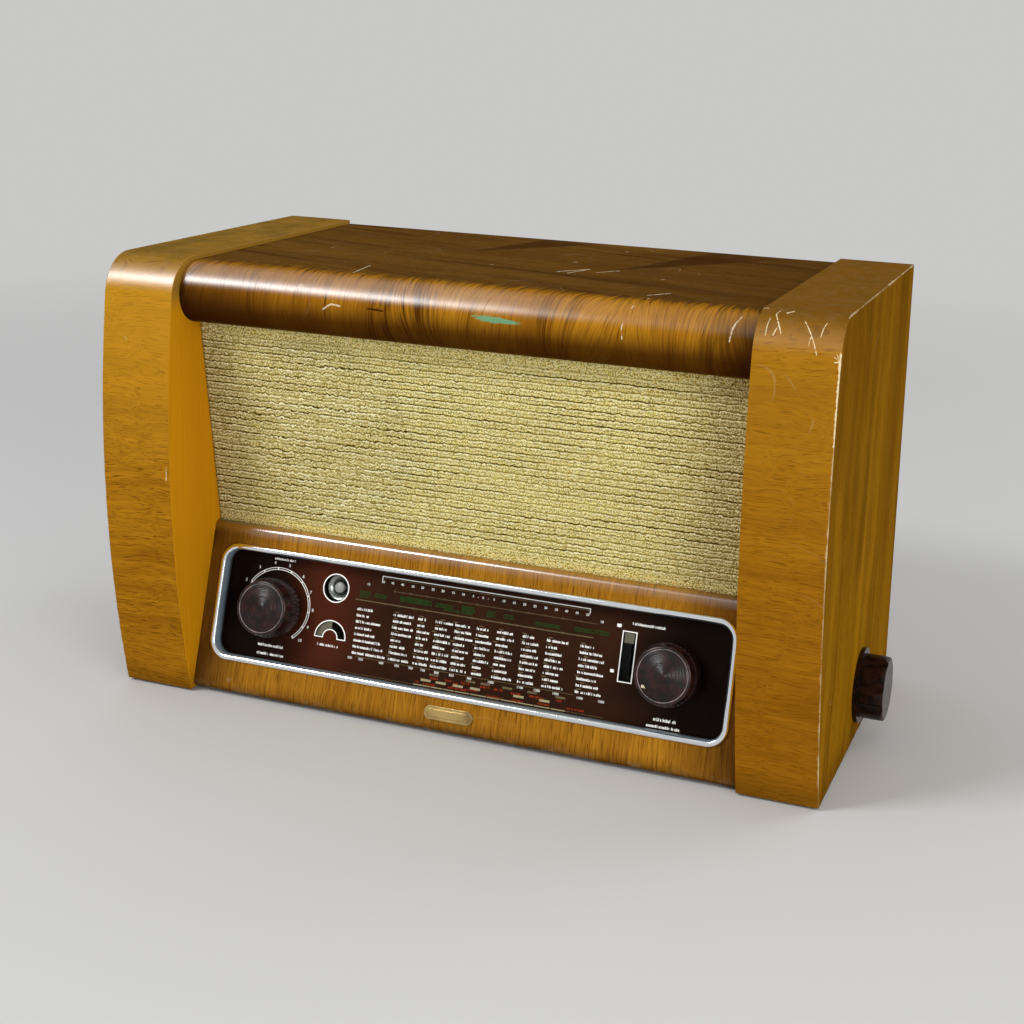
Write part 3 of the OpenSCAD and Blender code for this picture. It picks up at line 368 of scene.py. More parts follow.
def makeTurnedGroup():
    # Fine steps left by turning, each sloping outward; Z of the coordinates is the axis
    take, give = startGroup(
        "turnedRings", {"Coordinates": "vector", "Pitch": 0.0004, "Inner": 0.0, "Outer": 0.02},
        {"Height": "value", "Mask": "value"})
    x, y, _ = axes(take["Coordinates"])
    radius = vectorMath("LENGTH", point(x, y))
    turns = radius / take["Pitch"]
    step = (1.0 - calc("FRACT", turns)) * remap(cloudAlong(turns, 0.35, 1.0), 0.3, 0.7, (0.4, 1.3))
    mask = (radius > take["Inner"]) * (radius < take["Outer"])
    feed(give, Height=step * mask, Mask=mask)
    return x.tree


def makeScratchGroup():
    # One straight scratch between two points
    take, give = startGroup(
        "scratchLine", {"Coordinates": "vector", "From": "vector", "To": "vector", "Width": 0.0005},
        {"Mask": "value"})
    where = take["Coordinates"]
    along = vectorMath("SUBTRACT", take["To"], take["From"])
    apart = vectorMath("SUBTRACT", where, take["From"])
    share = clamped(vectorMath("DOT_PRODUCT", apart, along) / vectorMath("DOT_PRODUCT", along, along))
    away = vectorMath("DISTANCE", apart, vectorMath("SCALE", along, share))
    reach = take["Width"] * remap(cloud(where, 420.0, 2.0), 0.3, 0.7, (0.3, 1.5))
    feed(give, Mask=clamped(clamped(1.0 - away / reach) * 1.6))
    return where.tree


grainGroup = makeGrainGroup()
flameGroup = makeFlameGroup()
marksGroup = makeMarksGroup()
edgeGroup = makeEdgeGroup()
turnedGroup = makeTurnedGroup()
scratchGroup = makeScratchGroup()
print("shader groups made")

finishes = {}
quarter = math.pi / 2


def startFinish(name, **constants):
    # A material with its Principled shader, and the place of each point in the frame
    finishes[name] = bpy.data.materials.new(name)
    finishes[name].use_nodes = True
    tree = finishes[name].node_tree
    tree.nodes.clear()
    inputs = {key.replace("_", " "): value for key, value in constants.items()}
    shader = put(tree, "ShaderNodeBsdfPrincipled", inputs)
    put(tree, "ShaderNodeOutputMaterial", {"Surface": Signal(shader.outputs[0])})
    return shader, read(tree, "ShaderNodeTexCoord", output="Object")


def raiseSurface(shader, height, strength, distance):
    feed(shader, Normal=read(height.tree, "ShaderNodeBump", {"Height": height, "Strength": strength,
                                                             "Distance": distance}))


def scratchesOn(where, scratches):
    # The strongest of several scratches, each a width and the points that it runs through
    total = 0.0
    for width, *points in scratches:
        for start, end in zip(points, points[1:]):
            line = useGroup(scratchGroup, Coordinates=where, From=start, To=end, Width=width)
            total = most(line["Mask"], total)
    return total


# Finishes of the cabinet

cheekLook = {
    "pale": (0.450, 0.1935, 0.0077), "deep": (0.198, 0.0720, 0.0027), "pore": (0.095, 0.0288, 0.0018),
    "sidePale": (0.352, 0.1632, 0.0050), "sideDeep": (0.085, 0.0308, 0.0008),
    "innerPale": (0.666, 0.2925, 0.0063), "innerDeep": (0.486, 0.1935, 0.0045),
    "topPale": (0.297, 0.1575, 0.0198), "topDeep": (0.126, 0.0630, 0.0081),
    "worn": (0.76, 0.62, 0.36), "shadeNearTable": (0.055, 0.018, 0.002), "golden": (0.576, 0.2970, 0.0198),
    "olive": (0.108, 0.0684, 0.0090), "dust": (0.42, 0.38, 0.30),
    "sweep": (0.744, 0.230, 0.900),     # centre y, z and radius of the long front curve
    "halfWidth": 0.295, "innerX": 0.264, "topZ": 0.366,
    "scratches": [
        # width, and the points that each runs through
        (0.00058, (0.2463, -0.1217, 0.3656), (0.2441, -0.1293, 0.3636), (0.2468, -0.1354, 0.3603),
         (0.2492, -0.1397, 0.3568), (0.2512, -0.1430, 0.3531)),
        (0.00040, (0.2412, -0.1336, 0.3615), (0.2407, -0.1371, 0.3591), (0.2405, -0.1401, 0.3564),
         (0.2407, -0.1444, 0.3511)),
        (0.00046, (0.2476, -0.1405, 0.3560), (0.2467, -0.1425, 0.3538), (0.2459, -0.1441, 0.3516)),
        (0.00052, (0.2657, -0.1339, 0.3613), (0.2692, -0.1387, 0.3578), (0.2722, -0.1425, 0.3538),
         (0.2755, -0.1463, 0.3478), (0.2779, -0.1487, 0.3415)),
        (0.00036, (0.2721, -0.1438, 0.3520), (0.2715, -0.1469, 0.3466)),
        (0.00040, (0.2813, -0.1333, 0.3616), (0.2803, -0.1361, 0.3598), (0.2796, -0.1386, 0.3578),
         (0.2792, -0.1412, 0.3553), (0.2789, -0.1433, 0.3528)),
        (0.00090, (0.2513, -0.1263, 0.3646), (0.2532, -0.1242, 0.3652), (0.2556, -0.1222, 0.3656)),
        (0.00075, (0.2330, -0.1216, 0.3657), (0.2348, -0.1203, 0.3658), (0.2369, -0.1198, 0.3659)),
        (0.00110, (0.2946, -0.1482, 0.3432), (0.2946, -0.1494, 0.3387)),
        (0.00150, (0.2946, -0.1494, 0.3387), (0.2946, -0.1498, 0.3342)),
        (0.00110, (0.2946, -0.1498, 0.3342), (0.2946, -0.1517, 0.3180)),
        (0.00090, (0.2946, -0.1517, 0.3180), (0.2946, -0.1533, 0.3000)),
        (0.00070, (0.2946, -0.1533, 0.3000), (0.2946, -0.1546, 0.2800)),
        (0.00045, (0.2946, -0.1494, 0.3387), (0.2904, -0.1489, 0.3409)),
        (0.00045, (0.2946, -0.1494, 0.3387), (0.2906, -0.1496, 0.3375)),
        (0.00030, (0.2946, -0.1494, 0.3387), (0.2916, -0.1482, 0.3432)),
        (0.00050, (-0.2360, -0.1550, 0.2050), (-0.2380, -0.1560, 0.1500)),
    ],
}


def makeCheekFinish(look):
    shader, where = startFinish("cheekVeneer", Roughness=0.5, Coat_Roughness=0.38,
                                Coat_IOR=2.1, Specular_IOR_Level=0.0)
    x, y, z = axes(where)
    facingX, _, facingZ = axes(read(where.tree, "ShaderNodeNewGeometry", output="Normal"))
    sideways = remap(abs(facingX), 0.6, 0.8)
    upward = remap(facingZ, 0.45, 0.95)
    # the leaf is laid across the front and over the top, so its grain runs along X
    leaf = point(x, z - y)
    front = useGroup(grainGroup, Coordinates=leaf, Pale=look["pale"], Deep=look["deep"], Pore=look["pore"],
                     Bands=0.75, Lines=1.05, Pores=1.25, Waviness=1.5)
    side = useGroup(grainGroup, Coordinates=turnedTo(where, (0.07, quarter, 0)), Pale=look["sidePale"],
                    Deep=look["sideDeep"], Pore=look["pore"], Bands=1.15, Lines=0.62, Pores=0.5,
                    Waviness=2.2)
    inner = useGroup(grainGroup, Coordinates=turnedTo(where, (0, quarter, 0)), Pale=look["innerPale"],
                     Deep=look["innerDeep"], Pore=look["deep"], Bands=0.5, Lines=0.8, Pores=0.15,
                     Waviness=0.4)
    top = useGroup(grainGroup, Coordinates=leaf, Pale=look["topPale"], Deep=look["topDeep"],
                   Pore=look["pore"], Bands=0.8, Lines=0.7, Pores=0.7, Waviness=1.6)
    onRight = x > 0.0
    topColour = blend(onRight * 0.75, top["Color"], look["topDeep"])
    mottle = remap(cloud(where, (34, 16, 16), 4.0, 0.6), 0.46, 0.64, (0.0, 0.55))
    topColour = blend(mottle, topColour, look["olive"])
    colour = blend(upward, front["Color"], topColour)
    # the inner face is dull where it stands over the top, and the outer one is palest low down
    innerColour = blend(ease(z, 0.322, 0.345), inner["Color"], look["topPale"])
    sideColour = blend(remap(z, 0.06, 0.36, (0.0, 0.42)), side["Color"], look["sideDeep"])
    ends = blend(abs(x) > look["innerX"], innerColour, sideColour)
    # broad darker figures in the front leaf, more of them low down and on the right cheek
    figure = ease(cloud(leaf, (9, 26, 1), 3.0, 0.55, 0.8), 0.5, 0.66)
    lowness = remap(z, 0.05, 0.36, (0.6, 0.22)) + onRight * 0.25
    colour = blend(figure * lowness, colour, look["deep"])
    colour = blend(onRight * 0.4, colour, look["deep"])
    # painted light: the cheek fronts turn more golden towards the top, less so on the right cheek
    paintedGlow = remap(z, 0.17, 0.31, (0.0, 0.42)) * (1.0 - upward) * (1.0 - onRight * 0.6)
    colour = blend(paintedGlow, colour, look["golden"])
    colour = blend(sideways, colour, ends)
    # wear along the outer corner of each cheek, seen from the front and from the side
    sweepY, sweepZ, sweepR = look["sweep"]
    fromFront = least(sweepR - distanceTo(y, z, sweepY, sweepZ), look["topZ"] - z)
    fromEdge = most(look["halfWidth"] - abs(x), fromFront)
    edge = useGroup(edgeGroup, Coordinates=where, Distance=fromEdge, Width=0.0015, Breaks=0.75)
    marks = useGroup(marksGroup, Coordinates=where, Scratches=0.08, Specks=0.12)
    pale = most(edge["Wear"] * 0.7, marks["Scratches"], marks["Specks"],
                scratchesOn(where, look["scratches"]))
    colour = blend(pale, colour, look["worn"])
    colour = blend(marks["Dust"] * upward * 0.08, colour, look["dust"])
    # painted shade: the cheeks darken towards the table
    colour = blend(ease(z, 0.0, 0.03, (0.45, 0.0)), colour, look["shadeNearTable"])
    # the lacquer shines in a soft band over the rounded corner, and hardly elsewhere
    corner = ease(facingZ, 0.14, 0.5) * ease(facingZ, 0.62, 0.93, (1.0, 0.0))
    shine = corner * remap(marks["Dust"], 0.0, 1.0, (1.0, 0.8)) * (1.0 - onRight * 0.72) * (1.0 - sideways)
    feed(shader, Base_Color=colour, Coat_Weight=most(shine, 0.012),
         Roughness=remap(marks["Dust"], 0.0, 1.0, (0.42, 0.58)))
    raiseSurface(shader, front["Height"], 0.22, 0.0002)


topLook = {
    "amber": (0.489, 0.2139, 0.0105), "brown": (0.159, 0.0502, 0.0025), "dark": (0.031, 0.0081, 0.0009),
    "topAmber": (0.158, 0.0720, 0.0099), "topBrown": (0.054, 0.0225, 0.0036),
    "worn": (0.66, 0.57, 0.40), "underside": (0.108, 0.0576, 0.0108), "dust": (0.36, 0.31, 0.24),
    "roll": (-0.114, 0.3375, 0.025),        # y, z and radius
    "smear": (0.0390, 0.3418, 0.0230, 0.0031),  # x, z and half sizes of the green paint
    "smearColour": (0.085, 0.36, 0.200),
    "wedges": [
        # point of each dark figure on the flat top, its direction in degrees, length and half width
        (-0.0650, 0.0450, 62.0, 0.120, 0.0300),
        (0.0780, 0.0080, 62.0, 0.150, 0.0340),
    ],
    "scratches": [
        # width, and the points that each runs through
        (0.00090, (-0.1052, -0.1390, 0.3374), (-0.0990, -0.1385, 0.3418), (-0.0908, -0.1388, 0.3410)),
        (0.00070, (0.1440, -0.1050, 0.3625), (0.1385, -0.1270, 0.3588), (0.1340, -0.1377, 0.3460)),
        (0.00060, (0.1340, -0.1377, 0.3460), (0.1352, -0.1390, 0.3370)),
        (0.00080, (0.2192, -0.1268, 0.3590), (0.2150, -0.1345, 0.3520), (0.2140, -0.1383, 0.3430)),
        (0.00060, (-0.0946, -0.1100, 0.3625), (-0.1000, -0.0690, 0.3625)),
        (0.00110, (0.0410, -0.0200, 0.3625), (0.0600, 0.0060, 0.3625)),
        (0.00080, (0.0510, -0.0230, 0.3625), (0.0585, 0.0020, 0.3625)),
        (0.00080, (0.0700, -0.0080, 0.3625), (0.0830, 0.0100, 0.3625)),
        (0.00100, (0.1390, -0.0930, 0.3625), (0.1510, -0.0760, 0.3625)),
    ],
    "dents": [
        (0.00100, (-0.0671, -0.1388, 0.3410), (-0.0553, -0.1389, 0.3404)),
    ],
}


def makeTopFinish(look):
    shader, where = startFinish("topVeneer", Roughness=0.5, Coat_Roughness=0.35,
                                Coat_IOR=2.6, Specular_IOR_Level=0.0)
    x, y, z = axes(where)
    rollY, rollZ, rollR = look["roll"]
    # round the roll: the grain runs over it and fans out in places, and its streaks reach into the flat top
    turn = calc("ARCTAN2", rollY - y, z - rollZ)
    over = most(turn * rollR, 0.0) - most(y - rollY, 0.0)
    lean = (cloudAlong(x, 15.0, 0.0) - 0.46) * over * 0.9
    wander = cloud(where, (40, 25, 25), 2.0) - 0.5
    rolled = point(over, x + lean + wander * 0.0022, 0.3)
    roll = useGroup(grainGroup, Coordinates=rolled, Pale=look["amber"], Deep=look["brown"],
                    Pore=look["dark"], Bands=0.45, Lines=1.05, Pores=0.7, Waviness=0.15)
    flame = useGroup(flameGroup, Coordinates=rolled, Spread=1.0)
    lowOnRoll = ease(over, 0.006, 0.03, (0.35, 1.0))
    rollColour = blend(flame["Fine"] * flame["Figure"] * lowOnRoll * 0.85, roll["Color"], look["dark"])
    patch = ease(cloud(where, (13, 3, 3), 2.0), 0.42, 0.66)
    rollColour = blend(patch * 0.62 * lowOnRoll, rollColour, look["brown"])
    # painted shade under the roll, and darker towards both ends
    rollColour = blend(ease(turn, 1.15, 2.05, (0.0, 0.85)), rollColour, look["dark"])
    leftEnd = ease(x, -0.232, -0.125, (0.85, 0.0)) * ease(turn, 0.7, 1.5, (0.1, 1.0))
    rightEnd = ease(x, 0.19, 0.232, (0.0, 0.85)) * remap(turn, 0.4, 1.1, (0.35, 1.0))
    rollColour = blend(most(leftEnd, rightEnd), rollColour, look["dark"])
    # flat top: long grain along X, and two dark pointed figures
    flatMap = point(x, y + x * 0.22)
    flat = useGroup(grainGroup, Coordinates=flatMap, Pale=look["topAmber"], Deep=look["topBrown"],
                    Pore=look["dark"], Bands=1.1, Lines=0.8, Pores=0.6, Waviness=2.6)
    vein = ease(cloud(flatMap, (4, 38, 1), 3.0, 0.5, 1.2), 0.55, 0.66)
    topColour = blend(vein * 0.45, flat["Color"], look["dark"])
    topColour = blend(remap(x, 0.04, 0.22, (0.0, 0.26)), topColour, look["dark"])
    for tipX, tipY, turned, long, half in look["wedges"]:
        own = turnedTo(vectorMath("SUBTRACT", where, (tipX, tipY, 0.0)), (0, 0, -math.radians(turned)))
        ownX, ownY, _ = axes(own)
        along = ownX / long
        hairs = remap(cloud(own, (22, 330, 1), 4.0, 0.65), 0.3, 0.7, (-0.16, 0.16))
        wedge = ease(along - abs(ownY) / half * 1.15 + hairs, 0.0, 0.16)
        wedge = wedge * ease(along, 0.75, 1.25, (1.0, 0.25)) * (ownX > 0.0)
        topColour = blend(wedge * 0.62, topColour, look["dark"])
    # the border between roll and flat is brushed, dark tongues between amber ones
    brush = remap(cloud(rolled, (20, 330, 1), 4.0, 0.6), 0.3, 0.7, (-0.013, 0.013))
    onTop = ease(y + brush, rollY - 0.012, rollY + 0.012)
    colour = blend(onTop, rollColour, topColour)
    below = remap(z, rollZ - rollR + 0.001, rollZ - rollR + 0.004, (1.0, 0.0))
    colour = blend(below, colour, look["underside"])
    marks = useGroup(marksGroup, Coordinates=where, Scratches=0.3, Specks=0.3)
    pale = most(marks["Scratches"], marks["Specks"], scratchesOn(where, look["scratches"]))
    colour = blend(pale * 0.85, colour, look["worn"])
    colour = blend(scratchesOn(where, look["dents"]), colour, look["dark"])
    colour = blend(marks["Dust"] * onTop * 0.03, colour, look["dust"])
    # the smear of green paint
    smearX, smearZ, smearLong, smearHigh = look["smear"]
    offX = (x - smearX) / smearLong
    thin = smearHigh * remap(offX, -0.4, 0.9, (1.0, 0.35))
    offZ = (z - smearZ + offX * 0.0012) / thin
    ragged = remap(cloud(where, (160, 700, 700), 3.0), 0.3, 0.7, (-0.3, 0.6))
    smear = remap(offX * offX + offZ * offZ + ragged, 0.6, 1.1, (1.0, 0.0)) * (y < rollY)
    colour = blend(smear * 0.72, colour, look["smearColour"])
    # a soft band of polish along the upper front of the roll, fading to the right
    band = ease(turn, 0.1, 0.7) * ease(turn, 0.8, 1.35, (1.0, 0.0)) * ease(x, 0.0, 0.14, (1.0, 0.26))
    band = band * remap(roll["Height"], -0.3, 0.2, (0.75, 1.0))
    feed(shader, Base_Color=colour,
         Coat_Weight=most(band, 0.008) * remap(marks["Dust"], 0.0, 1.0, (1.0, 0.8)),
         Roughness=remap(marks["Dust"], 0.0, 1.0, (0.42, 0.6)))
    raiseSurface(shader, roll["Height"], 0.14, 0.0002)


panelLook = {
    "pale": (0.432, 0.1935, 0.0135), "deep": (0.158, 0.0540, 0.0040), "pore": (0.054, 0.0162, 0.0018),
    "panelShade": (0.036, 0.0108, 0.0027), "worn": (0.60, 0.47, 0.28),
    "lean": math.radians(16.2), "height": 0.1416,
}


def makePanelFinish(look):
    shader, where = startFinish("panelVeneer", Roughness=0.45, Coat_Roughness=0.24,
                                Coat_IOR=2.9, Specular_IOR_Level=0.0)
    x, _, z = axes(where)
    wood = useGroup(grainGroup, Coordinates=point(z, x), Pale=look["pale"], Deep=look["deep"],
                    Pore=look["pore"], Bands=0.7, Lines=1.15, Pores=1.0, Waviness=0.35)
    rise = z / look["height"]
    # painted shade: the panel darkens towards both ends beside the cheeks and along its foot, in mottled
    # patches
    dark = most(ease(abs(x), 0.165, 0.236, (0.0, 0.85)), ease(rise, 0.01, 0.13, (0.75, 0.0)))
    mottled = remap(cloud(where, 17.0), 0.3, 0.7, (0.7, 1.15))
    colour = blend(clamped(dark * mottled), wood["Color"], look["panelShade"])
    marks = useGroup(marksGroup, Coordinates=where, Scratches=0.2, Specks=0.1)
    scuffs = remap(rise, 0.0, 0.08, (1.0, 0.0)) * marks["Dust"]
    colour = blend(most(marks["Scratches"], marks["Specks"], scuffs * 0.45), colour, look["worn"])
    nose = ease(rise, 0.9, 0.955, (0.015, 1.0)) * remap(x, -0.2, 0.1, (1.0, 0.6))
    feed(shader, Base_Color=colour, Coat_Weight=nose,
         Roughness=remap(marks["Dust"], 0.0, 1.0, (0.36, 0.55)))
    raiseSurface(shader, wood["Height"], 0.14, 0.0002)


woodLook = {"pale": (0.56, 0.40, 0.22), "deep": (0.36, 0.22, 0.10), "pore": (0.18, 0.11, 0.05)}


def makeWoodFinish(name, look, turn):
    shader, where = startFinish(name)
    wood = useGroup(grainGroup, Coordinates=turnedTo(where, turn), Pale=look["pale"], Deep=look["deep"],
                    Pore=look["pore"], Bands=0.9, Lines=0.8, Pores=0.5, Waviness=1.4)
    feed(shader, Base_Color=wood["Color"], Roughness=remap(cloud(where, 60.0), 0.3, 0.7, (0.55, 0.75)))
    raiseSurface(shader, wood["Height"], 0.3, 0.0003)


speckledLooks = {
    # first and second tone, size of the clouds, roughness, relief and metal
    "feltPads": ((0.10, 0.09, 0.08), (0.05, 0.045, 0.04), 900.0, (0.9, 1.0), 0.6),
    "backBoard": ((0.25, 0.155, 0.075), (0.36, 0.24, 0.13), 420.0, (0.65, 0.85), 0.25),
    # the light box: near black, as painted shade for its dark inside
    "boxShadeDark": ((0.020, 0.022, 0.022), (0.034, 0.036, 0.034), 150.0, (0.4, 0.6)),
    "flagCard": ((0.17, 0.165, 0.11), (0.10, 0.09, 0.055), 170.0, (0.5, 0.65)),
    "ivoryPlastic": ((0.66, 0.60, 0.42), (0.58, 0.50, 0.33), 120.0, (0.3, 0.45), 0.03),
    "pointerRed": ((0.60, 0.03, 0.02), (0.45, 0.02, 0.015), 200.0, (0.3, 0.4), 0.03),
    "driveCord": ((0.05, 0.045, 0.04), (0.09, 0.08, 0.06), 2500.0, (0.8, 0.9), 0.6),
    "controlPlastic": ((0.03, 0.03, 0.03), (0.05, 0.045, 0.04), 150.0, (0.4, 0.55)),
    "laminateBoard": ((0.22, 0.10, 0.035), (0.30, 0.15, 0.06), 300.0, (0.35, 0.5)),
    "blackRubber": ((0.02, 0.02, 0.02), (0.045, 0.045, 0.043), 260.0, (0.7, 0.85)),
    "basketPaint": ((0.22, 0.24, 0.25), (0.30, 0.31, 0.32), 140.0, (0.4, 0.55)),
    "conePaper": ((0.16, 0.12, 0.08), (0.26, 0.20, 0.13), 700.0, (0.85, 0.95), 0.5),
    "coilWrap": ((0.30, 0.20, 0.07), (0.20, 0.13, 0.05), 380.0, (0.45, 0.6), 0.3),
    "coreIron": ((0.045, 0.045, 0.05), (0.11, 0.085, 0.07), 240.0, (0.4, 0.6), 0.25),
    "socketBakelite": ((0.10, 0.04, 0.018), (0.15, 0.065, 0.03), 160.0, (0.3, 0.45)),
    # the bezel's inner wall: a darker, bluish copy of the chrome, as a painted reflection
    "bezelWall": ((0.36, 0.47, 0.56), (0.22, 0.28, 0.33), 40.0, (0.3, 0.45), 0.01, 0.35),
    "eyeCap": ((0.62, 0.62, 0.58), (0.44, 0.44, 0.41), 200.0, (0.25, 0.4), 0.02),
}


def makeSpeckledFinish(name, first, second, size, roughness, bump=0.1, metallic=0.0):
    # Paint, card, rubber or felt: two tones in fine clouds, and a matching relief
    shader, where = startFinish(name, Metallic=metallic)
    soft = cloud(where, size, 5.0, 0.65)
    amount = clamped(remap(soft, 0.3, 0.7) * 0.6 + remap(cloud(where, size / 12), 0.3, 0.7) * 0.4)
    feed(shader, Base_Color=blend(amount, first, second), Roughness=remap(soft, 0.3, 0.7, roughness))
    raiseSurface(shader, soft, bump, 0.0004)


metalLooks = {
    # colour, dull colour, roughness, stretch of the fine lines, relief and tarnish
    "zincSteel": ((0.55, 0.55, 0.54), (0.33, 0.33, 0.31), (0.35, 0.5)),
    "chassisSteel": ((0.52, 0.53, 0.53), (0.30, 0.29, 0.27), (0.30, 0.48)),
    "brightSteel": ((0.68, 0.68, 0.68), (0.45, 0.44, 0.42), (0.18, 0.3)),
    "aluminium": ((0.76, 0.76, 0.76), (0.52, 0.52, 0.51), (0.3, 0.45)),
    "brass": ((0.70, 0.50, 0.20), (0.38, 0.25, 0.10), (0.28, 0.42)),
    "badgeBrass": ((0.60, 0.42, 0.16), (0.16, 0.10, 0.04), (0.25, 0.45), (60, 60, 60), 0.2, 0.8),
    "bezelChrome": ((0.86, 0.90, 0.94), (0.60, 0.60, 0.60), (0.06, 0.12), (3, 90, 90), 0.01, 0.25),
    "eyeTarget": ((0.46, 0.48, 0.46), (0.16, 0.17, 0.17), (0.22, 0.34)),
}


def makeMetalFinish(name, colour, dull, roughness, scratched=(3, 400, 3), bump=0.05, tarnish=0.4):
    shader, where = startFinish(name, Metallic=1.0)
    lines = cloud(where, scratched, 4.0, 0.6)
    cloudy = remap(cloud(where, 45.0, 5.0, 0.6), 0.42, 0.72)
    feed(shader, Base_Color=blend(cloudy * tarnish, colour, dull),
         Roughness=remap(lines, 0.3, 0.7, roughness) + cloudy * 0.12)
    raiseSurface(shader, lines, bump, 0.0002)


# The dial's plane: its X runs along the set, its Y up the slope and its Z out of it

dialPlace = {"foot": (0, -0.125141, 0.003), "lean": panelLook["lean"]}
dialFrame = Matrix.Translation(dialPlace["foot"]) @ Matrix.Rotation(quarter - dialPlace["lean"], 4, "X")
inkFrame = dialFrame @ Matrix.Scale(0.001, 4)       # for pieces that are measured in millimetres
knobSpots = {"Left": (-0.171, -0.103939, 0.075982), "Right": (0.171, -0.103939, 0.075982)}

bakeliteLook = {
    "body": (0.0090, 0.0045, 0.0050), "mottle": (0.042, 0.012, 0.010),
    "sideBody": (0.0060, 0.0025, 0.0015), "sideMottle": (0.030, 0.010, 0.005),
    "ring": 0.00042,        # pitch of the turned steps
    "bore": 0.0008,
    # worn is here the colour of the painted highlight round the edge of the face
    "rim": 0.0198, "worn": (0.42, 0.37, 0.37),
}


def makeKnobFinish(name, spot, look):
    # spot is the knob's axis point; the rings are turned on its face
    shader, where = startFinish(name, Coat_Weight=0.0, Coat_Roughness=0.25, Specular_IOR_Level=0.34)
    toKnob = Matrix.Rotation(dialPlace["lean"] - quarter, 4, "X")
    own = turnedTo(vectorMath("SUBTRACT", where, spot), toKnob.to_euler())
    rings = useGroup(turnedGroup, Coordinates=own, Pitch=look["ring"], Inner=look["bore"], Outer=look["rim"])
    broad = cloud(where, 150.0, 5.0, 0.6)
    colour = blend(remap(broad, 0.42, 0.7), look["body"], look["mottle"])
    # painted highlight: a thin pale line round the edge of the face
    x, y, z = axes(own)
    rimHighlight = remap(abs(vectorMath("LENGTH", point(x, y)) - look["rim"]), 0.00012, 0.0004, (1.0, 0.0))
    rimHighlight = rimHighlight * remap(broad, 0.3, 0.6, (0.25, 0.85)) * (z > 0.0)
    feed(shader, Base_Color=blend(rimHighlight, colour, look["worn"]),
         Roughness=remap(rings["Mask"], 0.0, 1.0, (0.26, 0.33)))
    raiseSurface(shader, rings["Height"], 1.0, 0.00021)


def makeSideKnobFinish(look):
    shader, where = startFinish("sideBakelite", Coat_Weight=0.16, Coat_Roughness=0.06,
                                Specular_IOR_Level=0.06)
    swirl = cloud(where, 60.0, 5.0, 0.6, 1.2)
    feed(shader, Base_Color=blend(remap(swirl, 0.42, 0.68), look["sideBody"], look["sideMottle"]),
         Roughness=remap(cloud(where, 400.0, 4.0), 0.3, 0.7, (0.16, 0.3)))
    raiseSurface(shader, swirl, 0.05, 0.0003)


glassLooks = {
    # colour, how much it hides, and how much it mirrors
    "valveGlass": ((0.30, 0.33, 0.33), 0.34, 0.5),
    "eyeGlass": ((0.05, 0.06, 0.06), 0.10, 0.5),
    "lampGlass": ((0.85, 0.82, 0.70), 0.5, 0.5),
    "dialGlass": ((0.004, 0.002, 0.0015), 0.03, 0.30),
}


def makeGlassFinish(name, colour, alpha, mirror):
    shader, where = startFinish(name, Base_Color=colour, Metallic=0.0, Specular_IOR_Level=mirror)
    smudge = cloud(where, 26.0, 5.0, 0.65)
    feed(shader, Roughness=remap(smudge, 0.3, 0.8, (0.03, 0.13)),
         Alpha=remap(smudge, 0.35, 0.8, (alpha, alpha * 1.6)))


inkLooks = {
    # colour, how far it fades, and its painted glow, a little light the ink gives off itself
    "inkWhite": ((0.94, 0.93, 0.88), 0.05, 0.22),
    "inkCream": ((0.46, 0.39, 0.22), 0.12, 0.0),
    "inkTan": ((0.17, 0.125, 0.065), 0.12, 0.0),
    "inkGreen": ((0.021, 0.060, 0.013), 0.2, 0.0),
    "inkRed": ((0.42, 0.045, 0.014), 0.2, 0.0),
}


def makeInkFinish(name, colour, variation, paintedGlow):
    # painted glow: the ink gives off a little light in its own colour
    shader, where = startFinish(name, Specular_IOR_Level=0.0, Emission_Color=colour, Emission_Strength=paintedGlow)
    worn = cloud(where, 300.0, 4.0, 0.6)
    faded = tuple(c * (1 - variation * 2.2) for c in colour)
    feed(shader, Base_Color=blend(remap(worn, 0.35, 0.7), colour, faded),
         Roughness=remap(worn, 0.3, 0.7, (0.28, 0.45)))


groundLook = {
    "brown": (0.023, 0.0098, 0.0050), "paler": (0.038, 0.013, 0.006), "red": (0.105, 0.020, 0.008),
    "black": (0.0040, 0.0022, 0.0015),
    "paintedGlow": (-0.128, 0.030),        # middle and reach of the painted glow, a redder patch of light beside the magic eye
    "ends": (-0.005, 0.125, 0.185),     # middle, and where the black ends start and are full
}


def makeGroundFinish(look):
    # The brown ground of the dial, nearly black at both ends
    shader, where = startFinish("dialGround", Coat_Weight=0.06, Coat_Roughness=0.03, Specular_IOR_Level=0.0)
    x, _, _ = axes(where)
    patches = cloud(where, 30.0, 5.0, 0.65)
    colour = blend(remap(patches, 0.35, 0.7), look["brown"], look["paler"])
    # painted light: a redder glow on the ground beside the magic eye
    middle, reach = look["paintedGlow"]
    off = (x - middle) / reach
    colour = blend(calc("EXPONENT", off * off * -1.0) * 0.55, colour, look["red"])
    middle, start, full = look["ends"]
    colour = blend(ease(abs(x - middle), start, full, (0.0, 0.85)), colour, look["black"])
    feed(shader, Base_Color=colour, Roughness=remap(patches, 0.3, 0.7, (0.25, 0.42)))


makeCheekFinish(cheekLook)
makeTopFinish(topLook)
makePanelFinish(panelLook)
makeWoodFinish("bareWood", woodLook, (0, 0, 0))
makeWoodFinish("uprightWood", woodLook, (0, quarter, 0))
for makeOne, looks in ((makeSpeckledFinish, speckledLooks), (makeMetalFinish, metalLooks),
                       (makeGlassFinish, glassLooks), (makeInkFinish, inkLooks)):
    for name, look in looks.items():
        makeOne(name, *look)
for side, spot in knobSpots.items():
    makeKnobFinish("frontBakelite" + side, spot, bakeliteLook)
makeSideKnobFinish(bakeliteLook)
makeGroundFinish(groundLook)
print("finishes made:", len(finishes))


# Frame nodes and their finishes: node, finish, eased edge in millimetres

